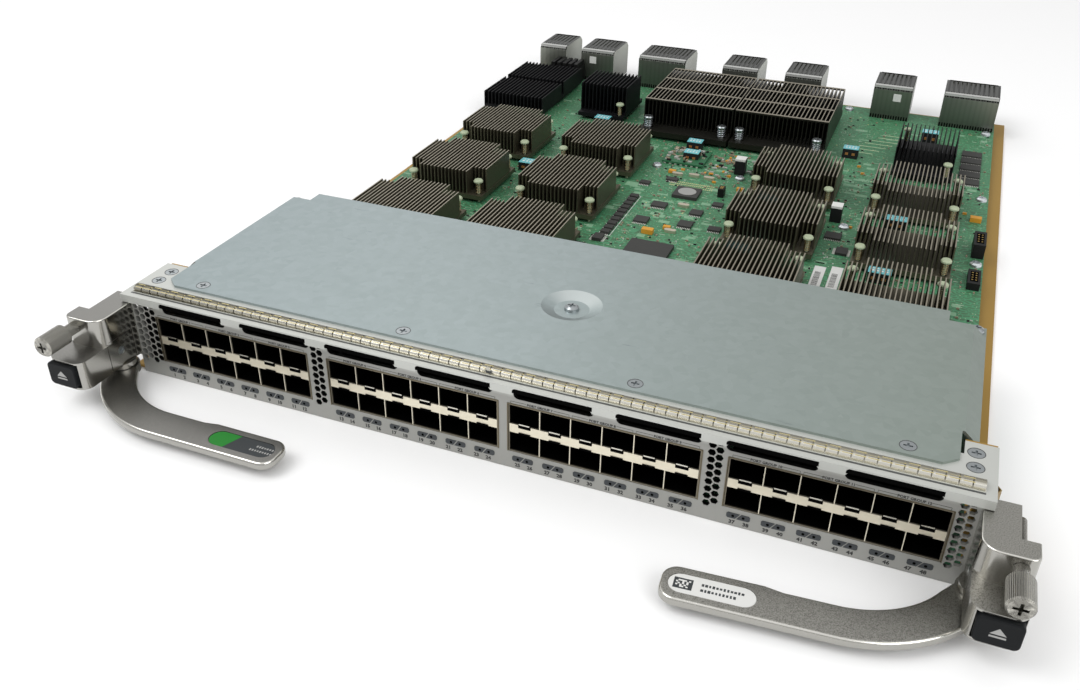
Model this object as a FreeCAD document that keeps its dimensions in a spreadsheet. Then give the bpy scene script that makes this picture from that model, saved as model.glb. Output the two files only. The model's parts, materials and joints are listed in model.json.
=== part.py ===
"""Switch line card: ports and ejectors in front, board, heat sinks and backplane connectors behind.

Frame: X to the right seen from the front, Y towards the rear, Z up, in millimetres.
The origin is the centre of the tray's underside. The pieces are laid out from the plane of the
faceplate's front, and each one's placement takes it back by half the card's depth.
"""
import FreeCAD, Part
import math
import os
import re

import Sketcher
from FreeCAD import Placement, Rotation, Vector

SIZES = {
    # faceplate
    "face_height": 44.4, "face_thick": 2.0, "face_margin": 15.05, "lip_reach": 2.0, "lip_height": 4.0,
    "flange_thick": 1.4, "flange_depth": 24.0, "tab_width": 12.5, "tab_depth": 33.0,
    "corner_notch_width": 3.5, "corner_notch_height": 9.6,
    # port blocks
    "port_pitch": 14.25, "port_height": 25.2, "port_base": 9.0, "gap_outer": 10.8, "gap_inner": 4.7,
    "ports_shift": 2.6, "cage_wall": 0.5, "cage_depth": 56.0, "cage_bar": 4.4, "divider_thick": 0.4,
    "core_depth": 9.0, "cage_fit": 0.15,
    # vents
    "vent_length": 36.0, "vent_height": 4.5, "vent_base": 37.3,
    "hex_size": 3.0, "hex_pitch": 3.7, "hex_base": 8.6,
    # port lights
    "light_width": 4.6, "light_height": 2.7, "light_base": 4.1, "light_thick": 0.25, "light_slant": 1.8,
    "light_gap": 0.3,
    # spring gasket
    "gasket_inset": 4.0, "gasket_front": 2.6, "gasket_depth": 7.6, "gasket_rise": 2.6,
    "finger_pitch": 4.85, "finger_gap": 0.5, "gasket_strip": 0.25,
    # tray
    "tray_overhang": 3.5, "tray_beyond": 18.0, "tray_thick": 1.5,
    "wall_front": 16.0, "wall_length": 20.0, "wall_thick": 1.5, "wall_flange": 12.0, "wall_gap": 0.2,
    "apron_length": 30.0, "apron_height": 33.0,
    "key_reach": 5.6, "key_front": 24.0, "key_length": 18.0, "key_base": 11.0, "key_height": 14.0,
    "key_thick": 0.35,
    # main board
    "board_inset": 5.0, "board_depth": 544.0, "board_thick": 2.4, "board_gap": 1.0,
    "standoff_height": 2.6, "standoff_size": 6.0,
    # front cover
    "cover_inset": 13.0, "cover_front": 13.5, "cover_depth": 123.0, "cover_thick": 1.2,
    "skirt_reach": 6.5, "skirt_slope": 6.0, "skirt_front": 24.0, "cover_rear_tongue": 9.5,
    "tongue_inset": 11.0, "dish_radius": 14.7, "dish_flat": 8.5, "dish_depth": 2.4,
    "dish_x": 7.0, "dish_y": 71.3, "cover_screw_pitch": 110.0, "cover_screw_y": 19.0,
    # screws
    "flush_radius": 3.3, "flush_depth": 1.1, "flush_shank": 1.5, "flush_length": 3.0,
    "pan_radius": 3.7, "pan_height": 2.2, "pan_shank": 1.6, "pan_length": 4.0,
    "screw_gap": 0.05, "drive_width": 0.9, "drive_depth": 0.7,
    # ejector ears
    "ear_overlap": 4.0, "ear_span": 20.0, "ear_waist_span": 13.3, "ear_top": 40.0, "ear_base": 11.0,
    "ear_shelf": 25.6, "ear_brow": 23.5, "ear_step": 13.5, "ear_nose": 38.5, "ear_tail": 6.0,
    "ear_round": 7.0, "ear_edge": 0.8, "ear_seam": 0.4, "ear_gap": 0.3,
    "cheek_y": 12.5, "cheek_z": 19.5, "cheek_shank": 1.05, "cheek_head": 2.0,
    # ejector buttons
    "button_width": 16.0, "button_height": 12.0, "button_depth": 12.0, "button_proud": 1.6,
    "button_gap": 0.3, "button_rise": 1.3, "button_round": 2.4,
    "button_spring_radius": 3.0, "button_spring_wall": 0.6, "button_spring_length": 4.9,
    # thumbscrews
    "thumb_inset": 14.2, "thumb_z": 35.0, "thumb_radius": 5.0, "thumb_length": 14.0, "thumb_stand": 6.5,
    "thumb_neck": 2.9, "thumb_shaft": 2.0, "thumb_reach": 4.0, "thumb_fit": 0.07,
    "clip_radius": 3.6, "clip_thick": 0.9, "clip_gap": 0.25, "groove_radius": 4.0,
    # ejector levers
    "pivot_inset": 5.5, "pivot_y": -9.0, "hub_radius": 8.3, "pin_radius": 3.0, "pin_fit": 0.05,
    "pin_head": 5.0, "pin_head_thick": 1.2, "pin_depth": 10.0, "boss_radius": 7.4,
    "lever_base": 4.3, "lever_thick": 4.2, "lever_gap": 0.3, "lever_edge": 1.3,
    "bend_reach": 49.5, "bend_y": 10.0, "bend_outer": 60.0, "bend_inner": 43.3, "bend_angle": 57.0,
    "lever_reach": 113.5, "grip_length": 38.0, "grip_extra": 1.3, "cam_width": 6.0, "cam_reach": 13.0,
    "right_lever_open": 4.0, "label_length": 33.0, "label_width": 10.0, "label_depth": 0.5, "label_gap": 0.1,
    # small heat sinks
    "sink_width": 56.0, "sink_depth": 56.0, "sink_height": 18.9, "sink_base": 3.0, "chip_height": 2.6,
    "fin_count": 22.0, "fin_thick": 0.7, "fin_margin": 0.4, "pin_notch": 9.0,
    "sink_x_inner": 69.0, "sink_x_outer": 147.0, "sink_y_front": 189.0, "sink_y_pitch": 79.0,
    "chip_size": 32.0,
    "push_pin_inset": 4.0, "push_pin_radius": 3.1, "push_pin_shank": 0.9, "push_pin_height": 13.0,
    # large heat sinks
    "large_width": 69.0, "large_depth": 86.0, "large_height": 23.9, "large_apron": 15.0, "large_back": 8.0,
    "large_y": 462.0, "large_x": 7.3, "large_gap": 1.6, "large_fins": 24.0, "tie_width": 2.6,
    "tie_height": 1.2, "spring_screw_radius": 3.6, "spring_screw_height": 9.0, "spring_screw_inset": 6.0,
    # black heat sinks
    "black_fin_pitch": 3.0, "black_apron": 7.0,
    # backplane connectors
    "plug_depth": 42.0, "plug_height": 26.5, "plug_on_board": 21.0, "plug_slot": 1.2, "plug_slot_pitch": 3.4,
    "power_x": -163.0, "power_y": 516.0, "power_width": 26.0, "power_depth": 18.0, "power_height": 14.0,
}

# Sizes that follow from the ones above.
FOLLOWING = {
    "block_width": "6 * port_pitch - 0.6",
    "face_width": "4 * block_width + 2 * gap_outer + gap_inner + 2 * face_margin",
    "vent_pitch": "(face_width - 30) / 8",
    "gasket_width": "face_width - 2 * gasket_inset",
    "tray_width": "face_width + 2 * tray_overhang",
    "tray_depth": "board_depth + tray_beyond",
    "board_width": "face_width - 2 * board_inset",
    "cover_width": "face_width - 2 * cover_inset",
    "ear_inner": "face_width / 2 - ear_overlap",
    "ear_outer": "ear_inner + ear_span",
    "ear_waist": "ear_inner + ear_waist_span",
    "thumb_x": "ear_inner + thumb_inset",
    "pivot_x": "ear_inner + pivot_inset",
    "bend_x": "pivot_x - bend_reach",
    "lever_tip": "pivot_x - lever_reach",
    "plug_front": "face_thick + board_gap + board_depth - plug_on_board",
}

DOC = FreeCAD.newDocument("switch_line_card")
SHEET = DOC.addObject("Spreadsheet::Sheet", "Sizes")
for row, (alias, amount) in enumerate((SIZES | FOLLOWING).items(), start=1):
    SHEET.set(f"A{row}", alias)
    SHEET.set(f"B{row}", f"={amount}" if alias in FOLLOWING else str(amount))
    SHEET.setAlias(f"B{row}", alias)
DOC.recompute()

NODES = []
CARD_MIDDLE = "(face_thick + tray_depth / 2)"
AXIS = {"X": Vector(1, 0, 0), "Y": Vector(0, 1, 0), "Z": Vector(0, 0, 1)}


def size(alias):
    """Return one driving dimension from the sheet."""
    return number(alias)


def card_middle():
    """Return how far the tray's centre lies behind the faceplate's front."""
    return number(CARD_MIDDLE)


def linked(text):
    """Return an expression in which every size's name points at its cell."""
    def cell(word):
        name = word.group()
        return f"Sizes.{name}" if name in SIZES or name in FOLLOWING else name

    return re.sub(r"[a-z][a-z_]*", cell, str(text))


def number(text):
    """Return what an expression over the sizes comes to."""
    found = SHEET.evalExpression(linked(text))
    return float(getattr(found, "Value", found))


def bind(thing, path, text):
    """Tie one property of an object to an expression over the sizes."""
    thing.setExpression(path, linked(text))


def node(thing, label):
    """Name an object as one of the card's pieces."""
    thing.Label = label
    NODES.append(thing)
    return thing


class Body:
    """A PartDesign body whose sketches and features are bound to the sheet."""

    def __init__(self, label, place=("0", "0", "0"), turn=None, master=False):
        self.body = DOC.addObject("PartDesign::Body", label)
        if not master:
            place = (place[0], f"{place[1]} - {CARD_MIDDLE}", place[2])
            node(self.body, label)
        self.label = label
        for axis, text in zip("xyz", place):
            bind(self.body, f"Placement.Base.{axis}", text)
        if turn is not None:
            self.body.Placement = Placement(Vector(), Rotation(AXIS["Z"], 1))
            bind(self.body, "Placement.Rotation.Angle", turn)
        self.sketches = 0

    def origin(self, role):
        """Return one of the body's own origin planes or axes."""
        return next(item for item in self.body.Origin.OriginFeatures if item.Role == role)

    def sketch(self, plane, offset="0", shift=("0", "0")):
        """Start a sketch on an origin plane, moved along its normal and in its own plane."""
        self.sketches += 1
        drawn = self.body.newObject("Sketcher::SketchObject", f"{self.label}_sketch_{self.sketches}")
        drawn.AttachmentSupport = [(self.origin(plane), "")]
        drawn.MapMode = "FlatFace"
        for axis, text in zip("xyz", (*shift, offset)):
            bind(drawn, f"AttachmentOffset.Base.{axis}", text)
        return Profile(drawn)

    def feature(self, kind, profile, **settings):
        """Add a feature made from a sketch, with its sizes given as expressions."""
        made = self.body.newObject(f"PartDesign::{kind}", f"{self.label}_{kind.lower()}_{self.sketches}")
        made.Profile = profile.drawn
        for name, value in settings.items():
            if isinstance(value, str) and name not in ("Type",):
                bind(made, name, value)
            else:
                setattr(made, name, value)
        profile.drawn.Visibility = False
        return made

    def pad(self, profile, length, reverse=False, middle=False):
        """Extrude a sketch into material."""
        return self.feature("Pad", profile, Length=length, Reversed=reverse, Midplane=middle)

    def pocket(self, profile, length, reverse=False, middle=False):
        """Cut a sketch into the body."""
        return self.feature("Pocket", profile, Length=length, Reversed=reverse, Midplane=middle)

    def turned(self, kind, profile, angle="360", axis="V_Axis", reverse=False):
        """Revolve or groove a sketch about one of its own axes."""
        return self.feature(kind, profile, ReferenceAxis=(profile.drawn, [axis]), Angle=angle,
                            Reversed=reverse)

    def pattern(self, features, axis, spacing, count):
        """Repeat features along an origin axis."""
        made = self.body.newObject("PartDesign::LinearPattern", f"{self.label}_row_{self.sketches}")
        made.Originals = features
        made.Direction = (self.origin(axis), [""])
        made.Mode = "Spacing"
        bind(made, "Offset", spacing)
        bind(made, "Occurrences", count)
        self.body.Tip = made
        return made

    def dress(self, kind, edge_test, amount, name="Radius"):
        """Fillet or chamfer the edges that pass a test."""
        DOC.recompute()
        base = self.body.Tip
        found = [f"Edge{index}" for index, edge in enumerate(base.Shape.Edges, start=1) if edge_test(edge)]
        made = self.body.newObject(f"PartDesign::{kind}", f"{self.label}_{kind.lower()}_{self.sketches}")
        made.Base = (base, found)
        bind(made, name, amount)
        self.body.Tip = made
        return made


class Profile:
    """A sketch whose points and radii are dimensions bound to the sheet."""

    def __init__(self, drawn):
        self.drawn = drawn

    def dimension(self, kind, *where, text):
        """Add one dimension and tie it to an expression."""
        amount = number(text)
        index = self.drawn.addConstraint(Sketcher.Constraint(kind, *where, amount))
        bind(self.drawn, f"Constraints[{index}]", text)

    def fix(self, line, end, x, y):
        """Hold one point of the sketch at its coordinates."""
        self.dimension("DistanceX", -1, 1, line, end, text=x)
        self.dimension("DistanceY", -1, 1, line, end, text=y)

    def polygon(self, corners):
        """Draw a closed outline through corners given as expressions."""
        spots = [Vector(number(x), number(y), 0) for x, y in corners]
        lines = []
        for start, end in zip(spots, spots[1:] + spots[:1]):
            lines.append(self.drawn.addGeometry(Part.LineSegment(start, end), False))
        for line, following in zip(lines, lines[1:] + lines[:1]):
            self.drawn.addConstraint(Sketcher.Constraint("Coincident", line, 2, following, 1))
        for line, (x, y) in zip(lines, corners):
            self.fix(line, 1, x, y)
        return self

    def rectangle(self, left, bottom, right, top):
        """Draw an upright rectangle from its two opposite corners."""
        return self.polygon([(left, bottom), (right, bottom), (right, top), (left, top)])

    def circle(self, x, y, radius):
        """Draw a circle."""
        ring = self.drawn.addGeometry(Part.Circle(Vector(number(x), number(y), 0), AXIS["Z"],
                                                  number(radius)), False)
        self.dimension("Radius", ring, text=radius)
        self.fix(ring, 3, x, y)
        return self

    def slot(self, left, right, middle, radius):
        """Draw a level slot with round ends, from the centre of one end to the other."""
        near = Vector(number(left), number(middle), 0)
        far = Vector(number(right), number(middle), 0)
        reach = number(radius)
        half = math.pi / 2
        up = Vector(0, reach, 0)
        ends = [self.drawn.addGeometry(Part.ArcOfCircle(Part.Circle(near, AXIS["Z"], reach), half,
                                                        3 * half), False),
                self.drawn.addGeometry(Part.ArcOfCircle(Part.Circle(far, AXIS["Z"], reach), -half, half),
                                       False)]
        sides = [self.drawn.addGeometry(Part.LineSegment(near - up, far - up), False),
                 self.drawn.addGeometry(Part.LineSegment(far + up, near + up), False)]
        joints = ((ends[0], 2, sides[0], 1), (sides[0], 2, ends[1], 1),
                  (ends[1], 2, sides[1], 1), (sides[1], 2, ends[0], 1))
        for joint in joints:
            self.drawn.addConstraint(Sketcher.Constraint("Tangent", *joint))
        self.fix(ends[0], 3, left, middle)
        self.dimension("DistanceX", -1, 1, ends[1], 3, text=right)
        self.dimension("Radius", ends[0], text=radius)
        return self


def solid(label, shape):
    """Make one node of a shape laid out from the faceplate's front."""
    made = DOC.addObject("Part::Feature", label)
    made.Shape = shape
    made.Placement = Placement(Vector(0, -card_middle(), 0), Rotation())
    return node(made, label)


def group(label, shapes):
    """Make one node of several separate solids."""
    return solid(label, Part.makeCompound(shapes))


def box_at(x, y, z, wide, deep, tall):
    """Return a box centred on x and y that stands on z."""
    return Part.makeBox(wide, deep, tall, Vector(x - wide / 2, y - deep / 2, z))


def is_upright(edge):
    """Tell whether an edge is a straight one along Z."""
    ends = [vertex.Point for vertex in edge.Vertexes]
    return len(ends) == 2 and (ends[0] - ends[1]).cross(AXIS["Z"]).Length < 1e-6


def near(edge, x=None, y=None, z=None, reach=0.01):
    """Tell whether the middle of an edge lies at the given coordinates."""
    spot = edge.CenterOfMass
    wanted = ((spot.x, x), (spot.y, y), (spot.z, z))
    return all(target is None or abs(found - target) < reach for found, target in wanted)


# ---------------------------------------------------------------- places that several pieces share

BOARD_BASE = "(tray_thick + standoff_height)"
BOARD_TOP = "(tray_thick + standoff_height + board_thick)"
BOARD_REAR = "(face_thick + board_gap + board_depth)"
FLANGE_UNDER = "(face_height - flange_thick)"
BLOCK_STEPS = (f"(ports_shift - gap_inner / 2 - block_width * 2 - gap_outer)",
               f"(ports_shift - gap_inner / 2 - block_width)",
               f"(ports_shift + gap_inner / 2)",
               f"(ports_shift + gap_inner / 2 + block_width + gap_outer)")
PORT_COLUMNS = 6
SCREW_XS = (-1.5, -0.5, 0.5, 1.5)
TAB_SCREW_YS = (16.5, 26.0)
TAB_SCREW_INSET = 8.1


def block_left(index):
    """Return the left side of one port block's opening."""
    return number(BLOCK_STEPS[index])


# ---------------------------------------------------------------- faceplate and what it holds

def hexagon(x, z):
    """Return a hexagonal cutter through the faceplate, flat sides upright."""
    radius = size("hex_size") / math.sqrt(3)
    corners = [Vector(x + radius * math.cos(math.radians(60 * step)), -1,
                      z + radius * math.sin(math.radians(60 * step))) for step in range(7)]
    return Part.Face(Part.makePolygon(corners)).extrude(Vector(0, size("face_thick") + 2, 0))


def honeycomb(centre, columns, rows=9):
    """Return the staggered hexagons of one vent zone."""
    pitch = size("hex_pitch")
    across = pitch * math.sqrt(3) / 2
    cutters = []
    for column in range(columns):
        x = centre + (column - (columns - 1) / 2) * across
        lift = pitch / 2 if column % 2 else 0
        cutters += [hexagon(x, size("hex_base") + lift + row * pitch) for row in range(rows)]
    return cutters


def faceplate():
    """Front plate with its lip, top flange and end tabs, and every opening in it."""
    face = Body("faceplate_blank", master=True)
    half = "face_width / 2"
    face.pad(face.sketch("XZ_Plane").rectangle(f"-{half}", "0", half, "face_height"), "face_thick",
             reverse=True)
    face.pad(face.sketch("XZ_Plane").rectangle(f"-{half}", "face_height - lip_height", half, "face_height"),
             "lip_reach")
    flange = face.sketch("XY_Plane", FLANGE_UNDER)
    flange.polygon([(f"-{half}", "face_thick / 2"), (half, "face_thick / 2"), (half, "tab_depth"),
                    (f"{half} - tab_width", "tab_depth"), (f"{half} - tab_width", "flange_depth"),
                    (f"tab_width - {half}", "flange_depth"), (f"tab_width - {half}", "tab_depth"),
                    (f"-{half}", "tab_depth")])
    face.pad(flange, "flange_thick")
    ports = face.sketch("XZ_Plane")
    for start in BLOCK_STEPS:
        ports.rectangle(start, "port_base", f"{start} + block_width", "port_base + port_height")
    face.pocket(ports, "face_thick * 4", middle=True)
    vents = face.sketch("XZ_Plane")
    radius = "vent_height / 2"
    for step in range(8):
        middle = f"(ports_shift + {step - 3.5} * vent_pitch)"
        vents.slot(f"{middle} - vent_length / 2 + {radius}", f"{middle} + vent_length / 2 - {radius}",
                   f"vent_base + {radius}", radius)
    face.pocket(vents, "face_thick * 4", middle=True)
    corners = face.sketch("XZ_Plane")
    for side in (-1, 1):
        ends = sorted((f"{side} * ({half} + 1)", f"{side} * ({half} - corner_notch_width)"), key=number)
        corners.rectangle(ends[0], "-1", ends[1], "corner_notch_height")
    face.pocket(corners, "face_thick * 4", middle=True)
    holes = face.sketch("XY_Plane", "face_height")
    for x, y in flush_screw_places():
        holes.circle(x, y, "flush_shank + screw_gap")
    face.pocket(holes, "flange_thick * 2")
    sinks = []
    for x, y in tab_screw_places():
        spot = Vector(number(x), number(y), size("face_height"))
        wide = size("flush_radius") + size("screw_gap")
        narrow = size("flush_shank") + size("screw_gap")
        sinks.append(Part.makeCone(wide, narrow, size("flush_depth"), spot, -AXIS["Z"]))
    left = block_left(0)
    right = block_left(3) + size("block_width")
    gaps = [(block_left(index) + size("block_width") + block_left(index + 1)) / 2 for index in (0, 2)]
    cheek = size("ear_inner")
    cutters = honeycomb((left - cheek) / 2, 4)
    for centre in gaps:
        cutters += honeycomb(centre, 2)
    cutters += honeycomb((right + cheek) / 2, 2)
    DOC.recompute()
    holes_tool = DOC.addObject("Part::Feature", "faceplate_perforations")
    holes_tool.Shape = Part.makeCompound(cutters + sinks)
    cut = DOC.addObject("Part::Cut", "faceplate")
    cut.Base = face.body
    cut.Tool = holes_tool
    cut.Placement = Placement(Vector(0, -card_middle(), 0), Rotation())
    node(cut, "faceplate")


def flush_screw_places():
    """Return where the flush screws go through the flange: under the cover, and in the end tabs."""
    cover = [(f"{step} * cover_screw_pitch", "cover_screw_y") for step in SCREW_XS]
    return cover + tab_screw_places()


def tab_screw_places():
    """Return where the end tabs' screws sit."""
    return [(f"{side} * (face_width / 2 - {TAB_SCREW_INSET})", str(y)) for side in (-1,
                                                                                    1) for y in TAB_SCREW_YS]


def port_lights():
    """Pairs of slanted light windows under every port column."""
    wide, tall, slant, gap = size("light_width"), size("light_height"), size("light_slant"), size("light_gap")
    low = size("light_base")
    windows = []
    for index in range(4):
        for column in range(PORT_COLUMNS):
            middle = block_left(index) + 6 * size("port_pitch") / 12 + column * size("port_pitch") - 0.3
            for side in (-1, 1):
                inner, outer = middle + side * gap, middle + side * (gap + wide)
                corners = [(inner + slant / 2, low + tall), (outer - side * 0.6, low + tall),
                           (outer, low + tall - 0.6),
                           (outer, low + 0.6), (outer - side * 0.6, low), (inner - slant / 2, low)]
                spots = [Vector(x, 0, z) for x, z in corners]
                outline = Part.Face(Part.makePolygon(spots + spots[:1]))
                windows.append(outline.extrude(Vector(0, -size("light_thick"), 0)))
    group("port_light_windows", windows)


def spring_gasket():
    """Row of sprung contact fingers along the top flange, on one carrier strip."""
    pitch, gap, strip = size("finger_pitch"), size("finger_gap"), size("gasket_strip")
    front, deep, rise = size("gasket_front"), size("gasket_depth"), size("gasket_rise")
    top = size("face_height")
    wide = size("gasket_width")
    count = int(wide / pitch)
    first = -count * pitch / 2
    strip_solid = Part.makeBox(count * pitch, deep, strip, Vector(first, front, top))
    outline = [(0.3, 0), (0.12, 0), (0.06, 0.4), (0.12, 0.72), (0.25, 0.94), (0.42, 1.0), (0.58, 0.9),
               (0.8, 0.45),
               (0.95, 0.12), (0.97, 0)]
    fingers = []
    for index in range(count):
        x = first + index * pitch + gap / 2
        spots = [Vector(x, front + deep * along, top + strip + (rise - strip) * up) for along, up in outline]
        face = Part.Face(Part.makePolygon(spots + spots[:1]))
        fingers.append(face.extrude(Vector(pitch - gap, 0, 0)))
    solid("emi_gasket", strip_solid.multiFuse(fingers).removeSplitter())


def port_cages():
    """Sheet-metal cages behind the four openings, with their dividers, bars and connector cores."""
    fit, wall = "cage_fit", "cage_wall"
    height = "(port_height - cage_fit * 2)"
    for index, start in enumerate(BLOCK_STEPS, start=1):
        shell = Body(f"port_cage_{index}")
        left, right = f"({start} + {fit})", f"({start} + block_width - {fit})"
        low, high = f"(port_base + {fit})", f"(port_base + {fit} + {height})"
        outline = shell.sketch("XZ_Plane", f"-{fit}")
        outline.rectangle(left, low, right, high)
        outline.rectangle(f"{left} + {wall}", f"{low} + {wall}", f"{right} - {wall}", f"{high} - {wall}")
        shell.pad(outline, "cage_depth", reverse=True)
        feet = shell.sketch("XZ_Plane", "-(face_thick + 1.5)")
        for start_x, end_x in ((left, f"{left} + {wall}"), (f"{right} - {wall}", right)):
            feet.rectangle(start_x, BOARD_TOP, end_x, f"{low} + {wall}")
        shell.pad(feet, "cage_depth - face_thick - 3", reverse=True)
    inner_width = number("block_width - (cage_fit + cage_wall) * 2")
    inner_low = number("port_base + cage_fit + cage_wall")
    inner_high = number("port_base + port_height - cage_fit - cage_wall")
    bar = size("cage_bar")
    middle = (inner_low + inner_high) / 2
    front = size("cage_fit")
    clear = size("cage_depth") - size("core_depth")
    thick = size("divider_thick")
    dividers, bars, cores = [], [], []
    for index in range(4):
        left = block_left(index) + size("cage_fit") + size("cage_wall")
        bars.append(Part.makeBox(inner_width, clear, bar, Vector(left, front, middle - bar / 2)))
        cores.append(Part.makeBox(inner_width, size("core_depth"), inner_high - inner_low,
                                  Vector(left, front + clear, inner_low)))
        for column in range(1, PORT_COLUMNS):
            x = left + column * inner_width / PORT_COLUMNS - thick / 2
            for low, high in ((inner_low, middle - bar / 2), (middle + bar / 2, inner_high)):
                dividers.append(Part.makeBox(thick, clear, high - low, Vector(x, front, low)))
    group("cage_dividers", dividers)
    group("cage_middle_bars", bars)
    group("port_connector_cores", cores)


# ---------------------------------------------------------------- tray, board and cover

def base_tray():
    """Flat carrier tray with short side walls at the front that carry the faceplate's tabs."""
    tray = Body("base_tray")
    half = "tray_width / 2"
    rear = "(face_thick + tray_depth)"
    tray.pad(tray.sketch("XY_Plane").rectangle(f"-{half}", "face_thick", half, rear), "tray_thick")
    for side in (-1, 1):
        outer = f"{side} * (face_width / 2 - wall_gap)"
        inner = f"{side} * (face_width / 2 - wall_gap - wall_thick)"
        flange = f"{side} * (face_width / 2 - wall_gap - wall_flange)"
        wall = tray.sketch("XZ_Plane", "-wall_front")
        wall.polygon([(outer, "tray_thick / 2"), (outer, FLANGE_UNDER), (flange, FLANGE_UNDER),
                      (flange, f"{FLANGE_UNDER} - wall_thick"), (inner, f"{FLANGE_UNDER} - wall_thick"),
                      (inner, "tray_thick / 2")])
        tray.pad(wall, "wall_length", reverse=True)
        plate = sorted((outer, inner), key=number)
        apron = tray.sketch("XY_Plane", "tray_thick / 2")
        apron.rectangle(plate[0], "wall_front + wall_length - 1", plate[1], "wall_front + apron_length")
        tray.pad(apron, "apron_height")
    holes = tray.sketch("XY_Plane", FLANGE_UNDER)
    for x, y in tab_screw_places():
        holes.circle(x, y, "flush_shank + screw_gap")
    tray.pocket(holes, "wall_thick * 2")


def side_springs():
    """V-shaped bronze contact springs on the outer faces of the tray's side walls."""
    springs = []
    for side in (-1, 1):
        wall = number("face_width / 2 - wall_gap")
        start, reach, thick = size("key_front"), size("key_reach"), size("key_thick")
        end, middle = start + size("key_length"), start + size("key_length") / 2
        outline = [(0, start - 3), (thick, start - 3), (thick, start), (reach, middle), (thick, end),
                   (0, end), (0, end - 0.6), (reach - thick * 1.6, middle), (0, start + 0.6)]
        spots = [Vector(side * (wall + x), y, size("key_base")) for x, y in outline]
        springs.append(Part.Face(Part.makePolygon(spots + spots[:1])).extrude(Vector(0, 0,
                                                                                     size("key_height"))))
    group("side_contact_springs", springs)


def main_board():
    """Printed circuit board with the holes for its screws."""
    board = Body("main_board")
    half = "board_width / 2"
    front = "(face_thick + board_gap)"
    outline = board.sketch("XY_Plane", BOARD_BASE)
    board.pad(outline.rectangle(f"-{half}", front, half, BOARD_REAR), "board_thick")
    holes = board.sketch("XY_Plane", BOARD_TOP)
    for x, y in BOARD_SCREW_SPOTS:
        holes.circle(str(x), str(y), "pan_shank + screw_gap")
    board.pocket(holes, "board_thick + 0.5")


BOARD_SCREW_SPOTS = ((-31.5, 352.5), (29.3, 351.6), (108.3, 298.6), (188.5, 276.4), (188.5, 380.5),
                     (187.0, 518.6),
                     (80.0, 537.0))
STANDOFF_SPOTS = BOARD_SCREW_SPOTS + ((-185.0, 24.0), (185.0, 24.0), (-108.0, 80.0), (108.0, 80.0),
                                      (0.0, 150.0),
                                      (-185.0, 230.0), (-110.0, 310.0), (-185.0, 400.0), (-110.0, 500.0))


def standoffs():
    """Hexagonal spacers between tray and board, and the tall posts that the cover is screwed to."""
    across = size("standoff_size")
    corner = across / math.sqrt(3)

    def hexagonal(x, y, z, tall):
        spots = [Vector(x + corner * math.cos(math.radians(60 * step)),
                        y + corner * math.sin(math.radians(60 * step)),
                        z) for step in range(7)]
        return Part.Face(Part.makePolygon(spots)).extrude(Vector(0, 0, tall))

    low = number(BOARD_TOP)
    radius, reach = number("pan_shank + screw_gap"), size("pan_length")
    posts = []
    for x, y, top in cover_post_places():
        post = hexagonal(x, y, low, top - low)
        posts.append(post.cut(Part.makeCylinder(radius, reach, Vector(x, y, top), -AXIS["Z"])))
    spacers = [hexagonal(x, y, size("tray_thick"), size("standoff_height")) for x, y in STANDOFF_SPOTS]
    group("board_standoffs", spacers + posts)


def cover_post_places():
    """Return where the cover's tall posts stand, and how high each one reaches."""
    corner_x = number("cover_width / 2 + skirt_reach - 4.6")
    corner_y = number("cover_front + cover_depth - 4")
    corner_top = number("face_height - skirt_slope")
    places = [(size("dish_x"), size("dish_y"), number("face_height - dish_depth"))]
    return places + [(side * corner_x, corner_y, corner_top) for side in (-1, 1)]


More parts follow.
